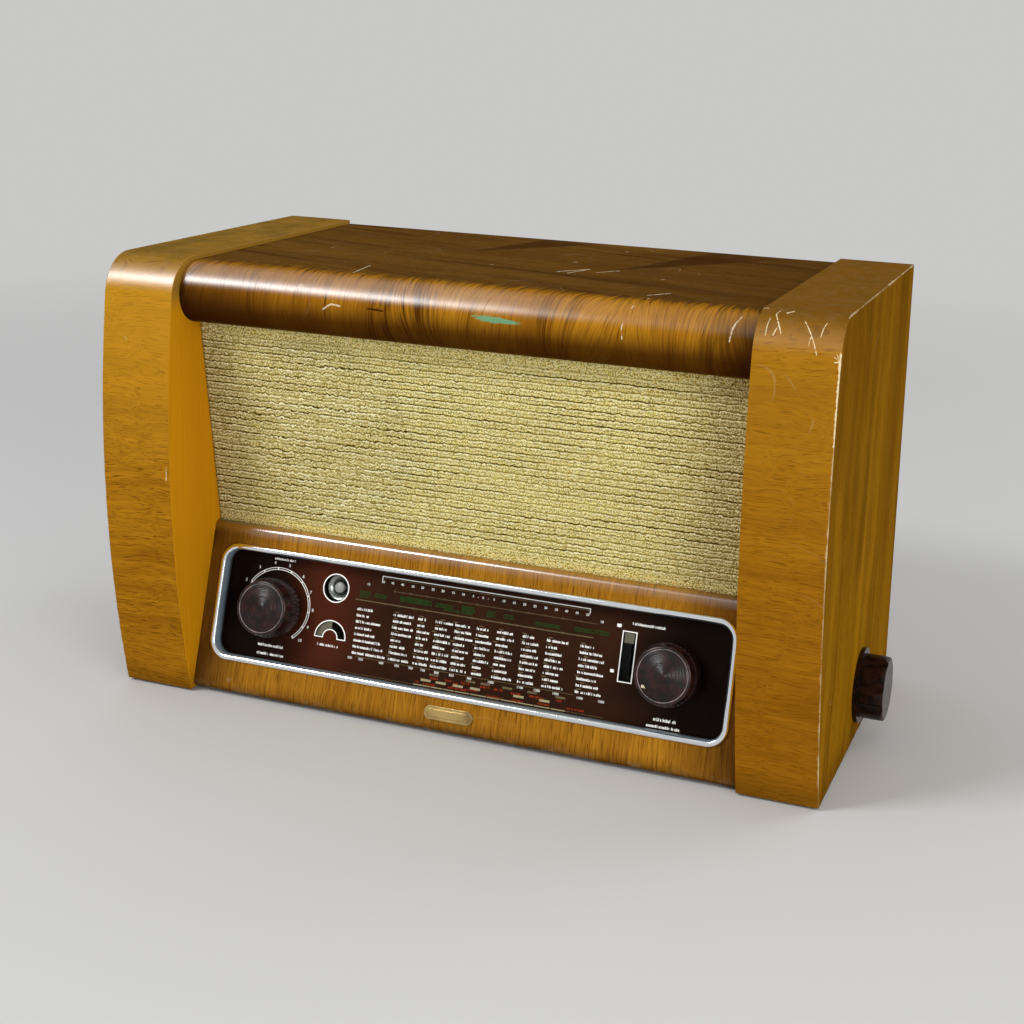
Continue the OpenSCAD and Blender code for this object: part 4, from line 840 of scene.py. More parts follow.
nodeFinish = {
    "cheek_left": ("cheekVeneer", 1.0), "cheek_right": ("cheekVeneer", 1.0),
    "top_panel": ("topVeneer", 0.6), "roll_core": ("bareWood", 0), "bottom_board": ("bareWood", 0.8),
    "felt_feet": ("feltPads", 0.8), "back_battens": ("uprightWood", 0.5),
    "dial_panel": ("panelVeneer", 0.5), "badge_plate": ("badgeBrass", 0.35),
    "baffle_board": ("bareWood", 0.5), "dial_bezel": ("bezelChrome", 0), "dial_glass": ("dialGlass", 0),
    "light_box": ("boxShadeDark", 0), "dial_lamps": ("lampGlass", 0), "magic_eye": ("eyeGlass", 0),
    "eye_clamp": ("zincSteel", 0), "drive_brackets": ("zincSteel", 0.3), "pointer_rail": ("brightSteel", 0),
    "pointer_carriage": ("ivoryPlastic", 0.3), "pointer": ("pointerRed", 0),
    "idler_left": ("ivoryPlastic", 0.2), "idler_right": ("ivoryPlastic", 0.2),
    "dial_cord": ("driveCord", 0), "cord_drum": ("aluminium", 0.2), "capacitor_rotor": ("brightSteel", 0),
    "capacitor_frame": ("chassisSteel", 0), "capacitor_bracket": ("zincSteel", 0.3),
    "tuning_plunger": ("brass", 0.2), "tuning_shaft": ("brightSteel", 0.2),
    "tuning_knob": ("frontBakeliteRight", 0.25), "tuning_bush": ("brass", 0.2),
    "volume_plunger": ("brass", 0.2), "volume_shaft": ("brightSteel", 0.2),
    "volume_knob": ("frontBakeliteLeft", 0.25), "volume_control": ("controlPlastic", 0.3),
    "band_knob": ("sideBakelite", 0.7), "band_shaft": ("brightSteel", 0.3),
    "band_switch": ("laminateBoard", 0), "band_flag": ("flagCard", 0.2), "flag_guide": ("brightSteel", 0),
    "tone_knob": ("sideBakelite", 0.7), "tone_shaft": ("brightSteel", 0.3),
    "tone_control": ("controlPlastic", 0.3), "tone_flag": ("flagCard", 0.2),
    "chassis": ("chassisSteel", 0.3), "chassis_bushes": ("blackRubber", 0.4),
    "chassis_screws": ("zincSteel", 0.3), "mains_transformer": ("coreIron", 0.5),
    "output_transformer": ("coreIron", 0.4), "valve_sockets": ("socketBakelite", 0.3),
    "valves": ("valveGlass", 0), "screening_cans": ("aluminium", 0.8),
    "smoothing_capacitor": ("aluminium", 0.8), "coils_and_tags": ("ivoryPlastic", 0.2),
    "speaker_basket": ("basketPaint", 0.4), "speaker_magnet": ("coreIron", 0.8),
    "speaker_cone": ("conePaper", 0), "back_cover": ("backBoard", 0.4),
    "terminal_strip": ("socketBakelite", 0.4),
}


easing = {
    "join": 0.000002,               # points nearer than this are one
    "flat": math.radians(0.3), "sharp": math.radians(32),
    "segments": 2, "weight": 80,
}


def easeEdges(piece, width):
    # Joins the split points, rounds the sharp edges and evens the shading; the points stay in place
    mesh = piece.data
    for name in ("custom_normal", "sharp_edge", "sharp_face"):
        if name in mesh.attributes:
            mesh.attributes.remove(mesh.attributes[name])
    for face in mesh.polygons:
        face.use_smooth = True
    join = piece.modifiers.new("joinPoints", "WELD")
    join.merge_threshold = easing["join"]
    flat = piece.modifiers.new("wholeFaces", "DECIMATE")
    flat.decimate_type = "DISSOLVE"
    flat.angle_limit = easing["flat"]
    bevel = piece.modifiers.new("easedEdges", "BEVEL")
    bevel.width = width * 0.001
    bevel.segments = easing["segments"]
    bevel.limit_method = "ANGLE"
    bevel.angle_limit = easing["sharp"]
    even = piece.modifiers.new("evenShading", "WEIGHTED_NORMAL")
    even.weight = easing["weight"]


for name, (finish, width) in nodeFinish.items():
    piece = nodes[name]
    piece.data.materials.clear()
    piece.data.materials.append(finishes[finish])
    if width:
        easeEdges(piece, width)
print("nodes dressed:", len(nodeFinish))


# Pieces are placed on the sloping dial or the cloth through these two frames

clothPlace = {"foot": (0, -0.079136, 0.136977), "lean": math.radians(9.7)}
clothFrame = Matrix.Translation(clothPlace["foot"]) @ Matrix.Rotation(quarter + clothPlace["lean"], 4, "X")


def addPiece(name, mesh, finish, body, place):
    mesh.transform(place)
    mesh.materials.append(finishes[finish])
    piece = bpy.data.objects.new(name, mesh)
    bpy.context.scene.collection.objects.link(piece)
    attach(piece, body)
    return piece


def finishMesh(name, builder, smooth=False):
    mesh = bpy.data.meshes.new(name)
    bmesh.ops.recalc_face_normals(builder, faces=builder.faces)
    builder.to_mesh(mesh)
    builder.free()
    for face in mesh.polygons:
        face.use_smooth = smooth
    return mesh


bezelRing = {
    "middle": 76.0, "size": (445.0, 97.0, 17.0),       # outline and its corner radius
    "profile": [
        # inset from the outline, and height over the panel
        (0.0, 0.0), (0.0, 0.7), (0.25, 1.35), (0.75, 1.95), (1.5, 2.35), (2.4, 2.5), (3.3, 2.4), (4.1, 2.05),
        (4.65, 1.5), (4.95, 0.8), (5.0, 0.0), (5.0, -4.5), (5.0, -8.98), (3.05, -8.98), (3.05, 0.0),
    ],
    "wall": (8, 9, 10, 11),     # strips of the profile that face the glass; they take bezelWall, a painted reflection
    "cornerSteps": 14,
}


def roundedPoints(middle, width, height, radius, steps=8):
    # A rounded rectangle, counter-clockwise
    points = []
    for sx, sy, start in ((1, 1, 0), (-1, 1, 90), (-1, -1, 180), (1, -1, 270)):
        corner = (middle[0] + sx * (width / 2 - radius), middle[1] + sy * (height / 2 - radius))
        points += arcPoints(corner, radius, start, start + 90, steps)
    return points


def arcPoints(centre, radius, start, end, steps):
    return [(centre[0] + radius * math.cos(math.radians(start + (end - start) * i / steps)),
             centre[1] + radius * math.sin(math.radians(start + (end - start) * i / steps)))
            for i in range(steps + 1)]


def makeBezel(spec):
    width, height, radius = spec["size"]
    builder = bmesh.new()
    rings = []
    for inset, level in spec["profile"]:
        outline = roundedPoints((0, spec["middle"]), width - 2 * inset, height - 2 * inset, radius - inset,
                                spec["cornerSteps"])
        rings.append([builder.verts.new((x, v, level)) for x, v in outline])
    count = len(rings[0])
    for k, (low, high) in enumerate(zip(rings, rings[1:] + rings[:1])):
        for i in range(count):
            face = builder.faces.new((low[i], low[(i + 1) % count], high[(i + 1) % count], high[i]))
            face.material_index = 1 if k in spec["wall"] else 0
    mesh = finishMesh("bezel_ring", builder, smooth=True)
    ring = addPiece("bezel_ring", mesh, "bezelChrome", "cabinet", inkFrame)
    mesh.materials.append(finishes["bezelWall"])
    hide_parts("dial_bezel")


makeBezel(bezelRing)
print("bezel formed")

clothSheet = {
    **clothPlace, "halfWidth": 0.2325, "low": -0.0065, "high": 0.1774,
    "pitch": 0.00600,       # from one tuck to the next
    "tuck": 0.00070,        # depth of a tuck
    "lip": 0.00042,         # height of the lip under it
    "fabric": 0.00036,
    "speaker": (-0.129, 0.0895, 0.078),
    "columns": 310,
    "sway": [
        # how far the tucks stray up and down: height, closeness along and between tucks, and layer
        (0.0009, 14, 0.5, 3.1), (0.0005, 55, 1.1, 8.2), (0.00032, 230, 1.9, 5.5),
    ],
    "crumple": 0.00016, "bow": 0.00055,
    "ceiling": 0.00085,     # no lip stands higher than this
    "profile": [
        # share of the pitch, and height there: above 0 in lips, below 0 in tucks
        (0.0, -1.0), (0.08, -0.45), (0.20, 0.12), (0.42, 0.10), (0.50, -0.22), (0.58, 0.10), (0.76, 0.25),
        (0.87, 0.95), (0.94, 0.75),
    ],
}


def ripple(x, y, layer):
    return noise.noise(Vector((x, y, layer)))


def makeCloth(spec):
    pitch, across = spec["pitch"], spec["columns"]
    tuckCount = int((spec["high"] - spec["low"]) / pitch) + 1
    rows = [(spec["low"] + (tuck + part) * pitch, tuck, shape)
            for tuck in range(tuckCount) for part, shape in spec["profile"]]
    rows = [row for row in rows if row[0] < spec["high"]] + [(spec["high"], tuckCount, 0.0)]
    builder = bmesh.new()
    grid = []
    speakerX, speakerV, speakerR = spec["speaker"]
    for height, tuck, shape in rows:
        line = []
        plain = min(1.0, max(0.0, (height + 0.002) / 0.010), max(0.0, (0.176 - height) / 0.008))
        for i in range(across + 1):
            x = -spec["halfWidth"] + 2 * spec["halfWidth"] * i / across
            wave = sum(high * ripple(x * along, tuck * between, layer)
                       for high, along, between, layer in spec["sway"])
            fromSpeaker = math.hypot(x - speakerX, height - speakerV) / speakerR
            overSpeaker = min(1.0, max(0.0, 1.12 - fromSpeaker) * 4)
            patch = 0.5 + 0.9 * ripple(x * 17, tuck * 0.23, 2.6)
            pucker = overSpeaker * min(1.0, max(0.0, patch))
            scallop = math.sin(x * 950 + 5 * ripple(x * 9, tuck * 0.2, 0) + tuck * 1.1)
            edge = min(1.0, (spec["halfWidth"] - abs(x)) / 0.012)
            strength = 0.62 + 0.5 * ripple(x * 6, tuck * 0.35, 1.7)
            crumple = spec["crumple"] * ripple(x * 330, height * 420, 6.0) * (1.4 - 0.6 * edge)
            if shape < 0:
                depth = shape * spec["tuck"] * (0.55 + 0.5 * strength + 0.35 * pucker * scallop)
            else:
                depth = shape * spec["lip"] * (strength + 1.1 * pucker * (0.4 + 0.6 * scallop))
            depth = depth * plain + crumple
            bow = spec["bow"] * pucker * scallop * (1 if shape > 0.2 else 0.6)
            line.append(builder.verts.new((x, height + (wave + bow) * plain, min(depth, spec["ceiling"]))))
        grid.append(line)
    for low, high in zip(grid, grid[1:]):
        for i in range(across):
            builder.faces.new((low[i], low[i + 1], high[i + 1], high[i]))
    mesh = finishMesh("front_cloth", builder, smooth=True)
    if mesh.polygons[0].normal.z < 0:
        mesh.flip_normals()
    sheet = addPiece("front_cloth", mesh, "frontCloth", "cabinet", clothFrame)
    thick = sheet.modifiers.new("fabricThickness", "SOLIDIFY")
    thick.thickness = spec["fabric"]
    thick.offset = -1
    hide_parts("grille_cloth")
    return sheet


clothLook = {
    "straw": (1.0, 0.835, 0.310), "gold": (0.76, 0.550, 0.140), "darkerStraw": (0.34, 0.230, 0.060),
    "pale": (1.0, 0.945, 0.60), "gap": (0.060, 0.030, 0.001), "warm": (1.0, 0.90, 0.20),
}


def makeClothFinish(look, spec):
    shader, where = startFinish("frontCloth", Roughness=0.6, Sheen_Weight=0.0, Specular_IOR_Level=0.0)
    x, _, z = axes(where)
    up = (z - spec["foot"][2]) / math.cos(spec["lean"])
    # grains of the weave, a little under a millimetre each
    distance, tone = grainsOf(stretched(where, (880, 1000, 1000)), 1.0)
    height = remap(distance, 0.22, 0.66, (1.0, 0.0)) * 0.75 + cloud(where, (420, 1100, 1100), 2.0, 0.6) * 0.5
    # painted shade in the tucks: a strong line each pitch and a faint one halfway, and a painted highlight
    # on the lip under the strong one
    sway = cloud(where, (14, 60, 60), 2.0) - 0.5
    jitter = cloud(where, (260, 150, 150), 2.0) - 0.5
    speakerX, speakerV, speakerR = spec["speaker"]
    away = distanceTo(x, up, speakerX, speakerV)
    loose = ease(away, 0.06, 0.09, (1.0, 0.0))
    jitter = jitter * (1.0 + loose * 0.8)
    phase = calc("FRACT", (up - spec["low"]) / spec["pitch"] + sway * 0.22 + jitter * 0.55)
    fromTuck = least(phase, 1.0 - phase)
    deep = remap(fromTuck, 0.05, 0.125, (1.0, 0.0))
    faint = remap(abs(phase - 0.5), 0.03, 0.1, (0.6, 0.0))
    lip = remap(abs(phase - 0.82), 0.04, 0.15, (1.0, 0.0))
    lip = most(lip, remap(abs(phase - 0.36), 0.02, 0.1, (0.45, 0.0)))
    lip = lip * remap(cloud(where, (520, 90, 90), 1.0), 0.36, 0.6, (0.3, 1.15))
    lip = lip * (0.9 + loose * remap(cloud(where, (22, 70, 70), 2.0), 0.42, 0.6, (-0.2, 0.9)))
    inside = remap(up, 0.004, 0.012) * remap(up, 0.163, 0.17, (1.0, 0.0))
    strength = remap(cloud(where, (16, 120, 120), 3.0), 0.34, 0.6, (0.6, 1.0)) * inside
    # painted shade of the loudspeaker opening behind the cloth, a dark ring at its edge and a darker disc
    # inside; the cloth also turns darker along its edges and more golden on its left side and along the top
    # and the foot
    away = away + (cloud(where, 28.0) - 0.5) * 0.012
    rim = ease(abs(away - (speakerR - 0.004)), 0.0, 0.014, (1.0, 0.0))
    within = ease(away, speakerR - 0.006, speakerR + 0.004, (1.0, 0.0))
    leftSide = ease(x, -0.232, -0.02, (1.0, 0.0))
    rightEdge = ease(x, 0.145, 0.222, (0.0, 1.0))
    leftEdge = ease(x, -0.232, -0.165, (1.0, 0.0))
    lowEdge = ease(up, -0.002, 0.02, (1.0, 0.0))
    highEdge = ease(up, 0.135, 0.176, (0.0, 1.0))
    patches = remap(cloud(where, 9.0, 4.0, 0.6), 0.3, 0.7)
    golden = most(leftSide * 0.5 + patches * 0.18, lowEdge * 0.55, highEdge * 0.62)
    colour = blend(least(golden, 1.0), look["straw"], look["gold"])
    speakerShadeAndEdges = most(rim * 0.4, rightEdge * 0.8, leftEdge * 0.6, within * 0.33)
    colour = blend(speakerShadeAndEdges, colour, look["darkerStraw"])
    # each grain has its own tone, and the gaps between them are dark
    colour = blend(remap(tone, 0.1, 0.9, (0.12, 1.0)), colour, look["pale"])
    # painted shade: towards the tucks and the gaps the weave turns a darker, warmer colour
    creaseShade = remap(fromTuck, 0.07, 0.25, (0.85, 0.0)) * strength
    creaseShade = most(creaseShade, remap(height, 0.34, 0.8, (0.7, 0.0)))
    colour = blend(creaseShade, colour, look["warm"], "MULTIPLY")
    # painted highlight along the lips
    colour = blend(lip * strength, colour, look["pale"])
    gaps = clamped(remap(height, 0.18, 0.56, (0.88, 0.0)) + most(rightEdge, leftEdge) * 0.1)
    gaps = gaps * (1.0 - clamped(lip * 0.9))
    # the dark gaps of the weave, and the painted shade in the tucks
    feed(shader, Base_Color=blend(most(gaps, most(deep, faint) * strength), colour, look["gap"]))
    raiseSurface(shader, height, 1.0, 0.0007)


makeClothFinish(clothLook, clothSheet)
cloth = makeCloth(clothSheet)
print("cloth stretched")


# Dial print, measured in millimetres on the sloping panel

dialPrint = {
    "ground": (437.0, 89.0, 13.0),      # width, height, corner radius
    "middle": 76.0,
    "layers": (-11.95, -11.75, -11.66),  # back of the ground, its face, and the face of the ink
    "eye": ((-119.6, 99.0), 11.0, 11.9),    # centre, window and outline radius
    "tone": ((-119.5, 58.5), 7.0, 13.4),    # centre, inner and outer radius of the half ring
    "windowLine": 0.8, "toneRim": 0.9,
    "slot": (128.9, 139.2, 63.6, 101.6),  # sides of the waveband window
    "shafts": (171.0, 5.2),
    "rowPitch": 5.07, "firstRow": 85.5, "wordHigh": 2.2,
    "mark": {"left": -1.5, "shift": (-1, 6), "length": 3.6, "low": 2.9, "high": 3.6},   # over each name
    "columns": [
        # left edge, and the length of each mark downwards
        (-97.9, (13.7, 11.3, 22.2, 14.5, 18.6, 23.9, 27.3, 29.8)),
        (-65.2, (18.3, 15.9, 18.3, 18.0, 9.9, 14.1, 16.4, 18.9)),
        (-43.4, (6.8, 6.6, 11.0, 10.6, 7.6, 13.4, 13.3, 12.5)),
        (-27.9, (15.6, 10.1, 14.0, 15.9, 10.9, 15.4, 13.5, 14.9)),
        (-10.7, (13.1, 14.3, 16.1, 9.6, 13.5, 10.6, 13.0, 13.9)),
        (8.0, (10.1, 10.9, 14.3, 13.5, 10.0, 13.0, 7.4, 8.7)),
        (25.4, (13.4, 15.1, 10.4, 14.4, 15.1, 10.6, 12.0, 16.5)),
        (47.3, (9.9, 13.6, 12.8, 14.5, 15.8, 13.8, 12.8, 13.6)),
        (67.6, (18.9, 9.3, 13.7, 13.5, 15.8, 12.8, 13.2, 18.2)),
        (95.5, (12.0, 18.6, 20.6, 15.5, 21.5, 15.9, 18.4, 21.1)),
    ],
    "topNumbers": [(-91.0, 106.3, "15"), (-78.2, 110.1, "50"), (-69.8, 110.2, "45"), (-61.0, 110.2, "40"),
                   (-51.6, 110.2, "35"), (-43.2, 110.3, "30"), (-33.9, 110.3, "25"), (-25.2, 110.3, "20"),
                   (-16.2, 110.2, "15"), (-7.5, 110.2, "10"), (1.4, 110.1, "5"), (5.7, 110.0, "-"),
                   (9.9, 110.0, "0"), (14.3, 110.0, "-"), (19.3, 110.1, "5"), (27.6, 110.0, "10"),
                   (36.5, 109.9, "15"), (45.3, 110.0, "20"), (54.2, 109.9, "25"), (63.2, 109.9, "30"),
                   (72.2, 109.8, "35"), (80.6, 109.9, "40"), (89.4, 109.9, "45"), (98.2, 109.8, "50"),
                   (110.5, 106.0, "18")],
    "figureHigh": {"volumeNumbers": 3.6, "topNumbers": 2.7, "lowNumbers": 2.7},
    "lowLine": 45.4,
    "lowNumbers": {"520": -99.1, "550": -89.3, "600": -70.8, "650": -56.8, "700": -44.5, "750": -33.8,
                   "800": -21.7, "850": -8.7, "900": 6.7, "1000": 25.2, "1100": 50.1, "1200": 64.2,
                   "1300": 80.0, "1400": 99.9, "1500": 117.5},
    "green": [(-97.9, -87.9, 95.2, 101.2), (-84.4, -73.6, 96.8, 100.6), (-61.6, -33.3, 96.8, 101.4),
              (-30.0, -14.8, 97.1, 101.0), (-22.4, -7.0, 95.4, 97.0), (-7.0, 4.3, 95.2, 101.8),
              (15.0, 22.4, 95.7, 101.2), (29.0, 38.2, 96.6, 100.8), (56.1, 77.4, 95.3, 98.6),
              (89.0, 104.9, 95.9, 99.7), (105.7, 118.0, 96.1, 100.0)],
    "red": [(-26.5, -19.5, 40.6), (-13.3, -7.9, 41.0), (-39.2, -35.2, 36.1), (-6.2, -1.5, 39.7),
            (0.6, 7.5, 41.1), (-32.0, -21.1, 35.4), (-10.2, 5.9, 36.0), (6.6, 14.3, 36.6),
            (16.9, 24.7, 40.8), (29.0, 36.4, 40.7), (43.3, 51.9, 40.0), (58.7, 71.4, 40.4),
            (22.6, 37.3, 34.6), (44.5, 54.3, 35.0), (66.1, 76.2, 35.9), (81.5, 88.2, 40.7),
            (90.5, 104.6, 36.1)],
    "cream": [(-30.1, 38.1), (-16.8, 38.0), (-2.0, 38.0), (12.9, 38.2), (50.0, 38.3), (71.6, 38.5)],
    "tanBlocks": [(-23.5, 43.2), (8.3, 43.2), (21.2, 43.2), (39.9, 43.2), (60.8, 43.2), (84.4, 43.2)],
    "volume": ((-172.0, 77.4), 29.2, 31.3, 0.5),    # centre, radii of the double ring, and its line
    "volumeTurn": (-52, 148, 232),      # angles where the double ring starts and ends, and the thin line
    "thinLine": (1.4, 1.0),             # its sides, inside the outer radius
    "tickTurn": 1.0,                    # half the width of a tick, in degrees
    "volumeTicks": (-52, -28, -3, 22, 46, 71, 95, 120, 147.5),
    "volumeNumbers": [
        (-203.0, 94.4, "2"), (-191.9, 106.2, "3"), (-178.2, 111.8, "4"), (-164.4, 111.2, "5"),
        (-150.6, 104.1, "6"), (-142.1, 92.1, "7"), (-138.2, 77.9, "8"), (-140.6, 63.5, "9"),
        (-146.3, 52.0, "10")],
    "captions": [
        # left edge, foot, length and height of each short greeked line
        (-179.2, 114.6, 20.0, 2.0), (-184.0, 42.6, 24.5, 2.3), (-184.0, 35.6, 24.5, 2.3),
        (-129.8, 51.0, 18.5, 2.1), (160.5, 38.6, 18.5, 2.5), (155.5, 33.4, 27.0, 2.3),
        (135.4, 107.6, 26.0, 2.2)],
    "bars": {
        # the header line with its hooked ends, a mark beside each end of the waveband window, and lines
        "white": [(-78.8, 114.4, 99.6, 114.95), (-79.4, 111.2, -78.8, 114.95), (99.6, 110.8, 100.2, 114.95),
                  (123.1, 104.4, 126.5, 106.9), (121.8, 69.2, 124.7, 71.6)],
        "tan": [(-78.8, 113.0, 99.6, 113.4), (90, 33.4, 120.5, 33.8)],
    },
    "scaleLines": [
        # left and right end, foot, height and number of ticks
        (-67.2, 107.5, 103.7, 0.35, 11), (-100.3, 105.5, 92.5, 0.75, 15), (-95.2, 94.9, 46.9, 0.35, 0),
        (-103.7, -40.4, 33.2, 0.35, 0)],
    "scaleTick": (0.25, 0.2, -0.7, 1.3),    # gap beside a tick, half its width, and its ends about the foot
    "creamLine": (-40.4, 88, 33.2, 34.0),
    "creamDash": ((7, 15), 0.9),            # lengths and gap of its dashes
    "greenRow": (1.75, (2.5, 7.5), 1.15, 0.7),  # pitch of the rows, lengths, height and gap of the blocks
    "creamHalf": (4.3, 0.9), "tanHalf": (4.1, 0.8),     # half sizes of the plain blocks
    "redRow": (-0.8, 1.8),                  # foot and height of the red names about their line
}
printTurn = random.Random(7)
_, inkBase, inkFace = dialPrint["layers"]


def addBar(builder, x0, v0, x1, v1):
    # A flat upright box of ink between two corners
    corners = [builder.verts.new((x, v, w)) for w in (inkBase, inkFace) for x, v in
               ((x0, v0), (x1, v0), (x1, v1), (x0, v1))]
    for face in ((3, 2, 1, 0), (4, 5, 6, 7), (0, 1, 5, 4), (1, 2, 6, 5), (2, 3, 7, 6), (3, 0, 4, 7)):
        builder.faces.new([corners[i] for i in face])


def addBand(builder, centre, inner, outer, start, end, steps):
    # A flat band along an arc, from one angle to another in degrees
    rings = []
    for i in range(steps + 1):
        angle = math.radians(start + (end - start) * i / steps)
        turn = (math.cos(angle), math.sin(angle))
        rings.append([builder.verts.new((centre[0] + r * turn[0], centre[1] + r * turn[1], w)) for r, w in
                      ((inner, inkBase), (outer, inkBase), (outer, inkFace), (inner, inkFace))])
    for a, b in zip(rings, rings[1:]):
        for i in range(4):
            builder.faces.new((a[i], a[(i + 1) % 4], b[(i + 1) % 4], b[i]))
    for end in (rings[0], rings[-1]):
        builder.faces.new(end)


def meshOf(curve):
    carrier = bpy.data.objects.new("curveCarrier", curve)
    bpy.context.scene.collection.objects.link(carrier)
    bpy.context.view_layer.update()
    mesh = bpy.data.meshes.new_from_object(carrier.evaluated_get(bpy.context.evaluated_depsgraph_get()))
    bpy.data.objects.remove(carrier)
    return mesh


def outlineSpline(curve, points):
    spline = curve.splines.new("POLY")
    spline.points.add(len(points) - 1)
    for point, (x, v) in zip(spline.points, points):
        point.co = (x, v, 0, 1)
    spline.use_cyclic_u = True


def makeGround(spec):
    curve = bpy.data.curves.new("dial_ground", "CURVE")
    curve.dimensions = "2D"
    curve.fill_mode = "BOTH"
    outlineSpline(curve, roundedPoints((0, spec["middle"]), *spec["ground"]))
    eye, eyeHole, _ = spec["eye"]
    outlineSpline(curve, arcPoints(eye, eyeHole, 0, 355, 71))
    tone, toneIn, toneOut = spec["tone"]
    outlineSpline(curve, arcPoints(tone, toneOut, 0, 180, 32) + arcPoints(tone, toneIn, 180, 0, 32))
    left, right, low, high = spec["slot"]
    outlineSpline(curve, [(left, low), (right, low), (right, high), (left, high)])
    shaftX, shaftHole = spec["shafts"]
    for side in (-1, 1):
        outlineSpline(curve, arcPoints((side * shaftX, spec["middle"]), shaftHole, 0, 345, 23))
    back, face, _ = spec["layers"]
    curve.extrude = (face - back) / 2
    mesh = meshOf(curve)
    mesh.name = "dial_ground"
    mesh.transform(Matrix.Translation((0, 0, (back + face) / 2)))
    builder = bmesh.new()
    builder.from_mesh(mesh)
    bmesh.ops.remove_doubles(builder, verts=builder.verts, dist=1e-4)
    bmesh.ops.recalc_face_normals(builder, faces=builder.faces)
    builder.to_mesh(mesh)
    builder.free()
    mesh.materials.clear()
    addPiece("dial_ground", mesh, "dialGround", "cabinet", inkFrame)


def addNumber(builder, text, x, v, size):
    # Plain figures from Blender's own font, laid flat as ink
    curve = bpy.data.curves.new("figures", "FONT")
    curve.body = text
    curve.size = size
    curve.align_x = "CENTER"
    curve.align_y = "CENTER"
    curve.extrude = (inkFace - inkBase) / 2
    curve.resolution_u = 3
    mesh = meshOf(curve)
    mesh.transform(Matrix.Translation((x, v, (inkBase + inkFace) / 2)))
    builder.from_mesh(mesh)
    bpy.data.meshes.remove(mesh)


greeking = {
    "widths": (0.75, 0.95, 1.05, 1.25),
    "heights": (1.0, 0.72, 0.72, 0.72, 1.0),    # shares of the name's height
    "first": 0.42, "last": 0.4,     # width of the upright strokes
    "inset": 0.35,                  # where the level ones start
    "low": 0.22, "middle": (0.52, 0.72),
    "gap": 0.32, "wordGap": 1.1, "wordShare": 0.12,
}


def addGreeked(builder, x, v, length, high):
    # A name stands as a row of plain strokes, with no letters in it
    inset, low = greeking["inset"], greeking["low"] * high
    middle = [share * high for share in greeking["middle"]]
    at, end = x, x + length
    while at < end - 0.5:
        wide = min(printTurn.choice(greeking["widths"]), end - at)
        tall = high * printTurn.choice(greeking["heights"])
        kind = printTurn.randrange(4)
        addBar(builder, at, v, at + greeking["first"], v + tall)
        if kind != 0:
            addBar(builder, at + wide - greeking["last"], v, at + wide, v + middle[1])
        if kind in (1, 2):
            addBar(builder, at + inset, v + middle[0], at + wide - inset, v + middle[1])
        if kind in (2, 3):
            addBar(builder, at + inset, v, at + wide - inset, v + low)
        at += wide + greeking["gap" if printTurn.random() > greeking["wordShare"] else "wordGap"]


def printRings(white, spec):
    # Volume ring: a double line with ticks over the top, and a thin one down the left
    centre, inner, outer, line = spec["volume"]
    start, middle, end = spec["volumeTurn"]
    thinIn, thinOut = spec["thinLine"]
    addBand(white, centre, outer - line, outer, start, middle, 96)
    addBand(white, centre, inner, inner + line, start, middle, 96)
    addBand(white, centre, outer - thinIn, outer - thinOut, middle, end, 48)
    for angle in spec["volumeTicks"]:
        addBand(white, centre, inner, outer, angle - spec["tickTurn"], angle + spec["tickTurn"], 2)
    # outlines of the magic eye, the tone window and the waveband window
    addBand(white, *spec["eye"], 0, 360, 72)
    (toneX, toneV), toneIn, toneOut = spec["tone"]
    line, rim = spec["windowLine"], spec["toneRim"]
    addBand(white, (toneX, toneV), toneOut, toneOut + rim, 0, 180, 40)
    addBand(white, (toneX, toneV), toneIn - line, toneIn, 0, 180, 32)
    for side in (-1, 1):
        addBar(white, toneX + side * (toneIn - line), toneV - line, toneX + side * (toneOut + rim), toneV)
    left, right, low, high = spec["slot"]
    addBar(white, left - line, low - line, left, high + line)
    addBar(white, right, low - line, right + line, high + line)
    addBar(white, left, high, right, high + line)
    addBar(white, left, low - line, right, low)


def printNames(white, tan, spec):
    # Columns of greeked names, with a pale frequency mark over each, and the captions
    mark = spec["mark"]
    for column, (x, lengths) in enumerate(spec["columns"]):
        for row, length in enumerate(lengths):
            v = spec["firstRow"] - row * spec["rowPitch"] - spec["wordHigh"] / 2
            addGreeked(white, x, v, length, spec["wordHigh"])
            if column:
                left = x + mark["left"] + printTurn.uniform(*mark["shift"])
                addBar(tan, left, v + mark["low"], left + mark["length"], v + mark["high"])
    for x, v, length, high in spec["captions"]:
        addGreeked(white, x, v, length, high)


def printScales(tan, cream, green, red, spec):
    # Short-wave blocks in rows, then pale scale lines broken by ticks
    pitch, lengths, high, gap = spec["greenRow"]
    for x0, x1, v0, v1 in spec["green"]:
        rows = max(1, round((v1 - v0) / pitch))
        for row in range(rows):
            v = v0 + row * (v1 - v0) / rows
            at = x0
            while at < x1 - 1:
                wide = min(printTurn.uniform(*lengths), x1 - at)
                addBar(green, at, v, at + wide, v + high)
                at += wide + gap
    beside, half, low, top = spec["scaleTick"]
    for x0, x1, v, high, ticks in spec["scaleLines"]:
        step = (x1 - x0) / (ticks + 1)
        for i in range(ticks + 1):
            start = x0 + step * i
            addBar(tan, start + beside, v, start + step - beside, v + high)
            if ticks:
                addBar(tan, start - half, v + low, start + half, v + top)
    at, end, low, high = spec["creamLine"]
    lengths, gap = spec["creamDash"]
    while at < end:
        wide = printTurn.uniform(*lengths)
        addBar(cream, at, low, at + wide, high)
        at += wide + gap
    for builder, places, (halfWide, halfHigh) in ((cream, spec["cream"], spec["creamHalf"]),
                                                  (tan, spec["tanBlocks"], spec["tanHalf"])):
        for x, v in places:
            addBar(builder, x - halfWide, v - halfHigh, x + halfWide, v + halfHigh)
    foot, high = spec["redRow"]
    for x0, x1, v in spec["red"]:
        addGreeked(red, x0, v + foot, x1 - x0, high)


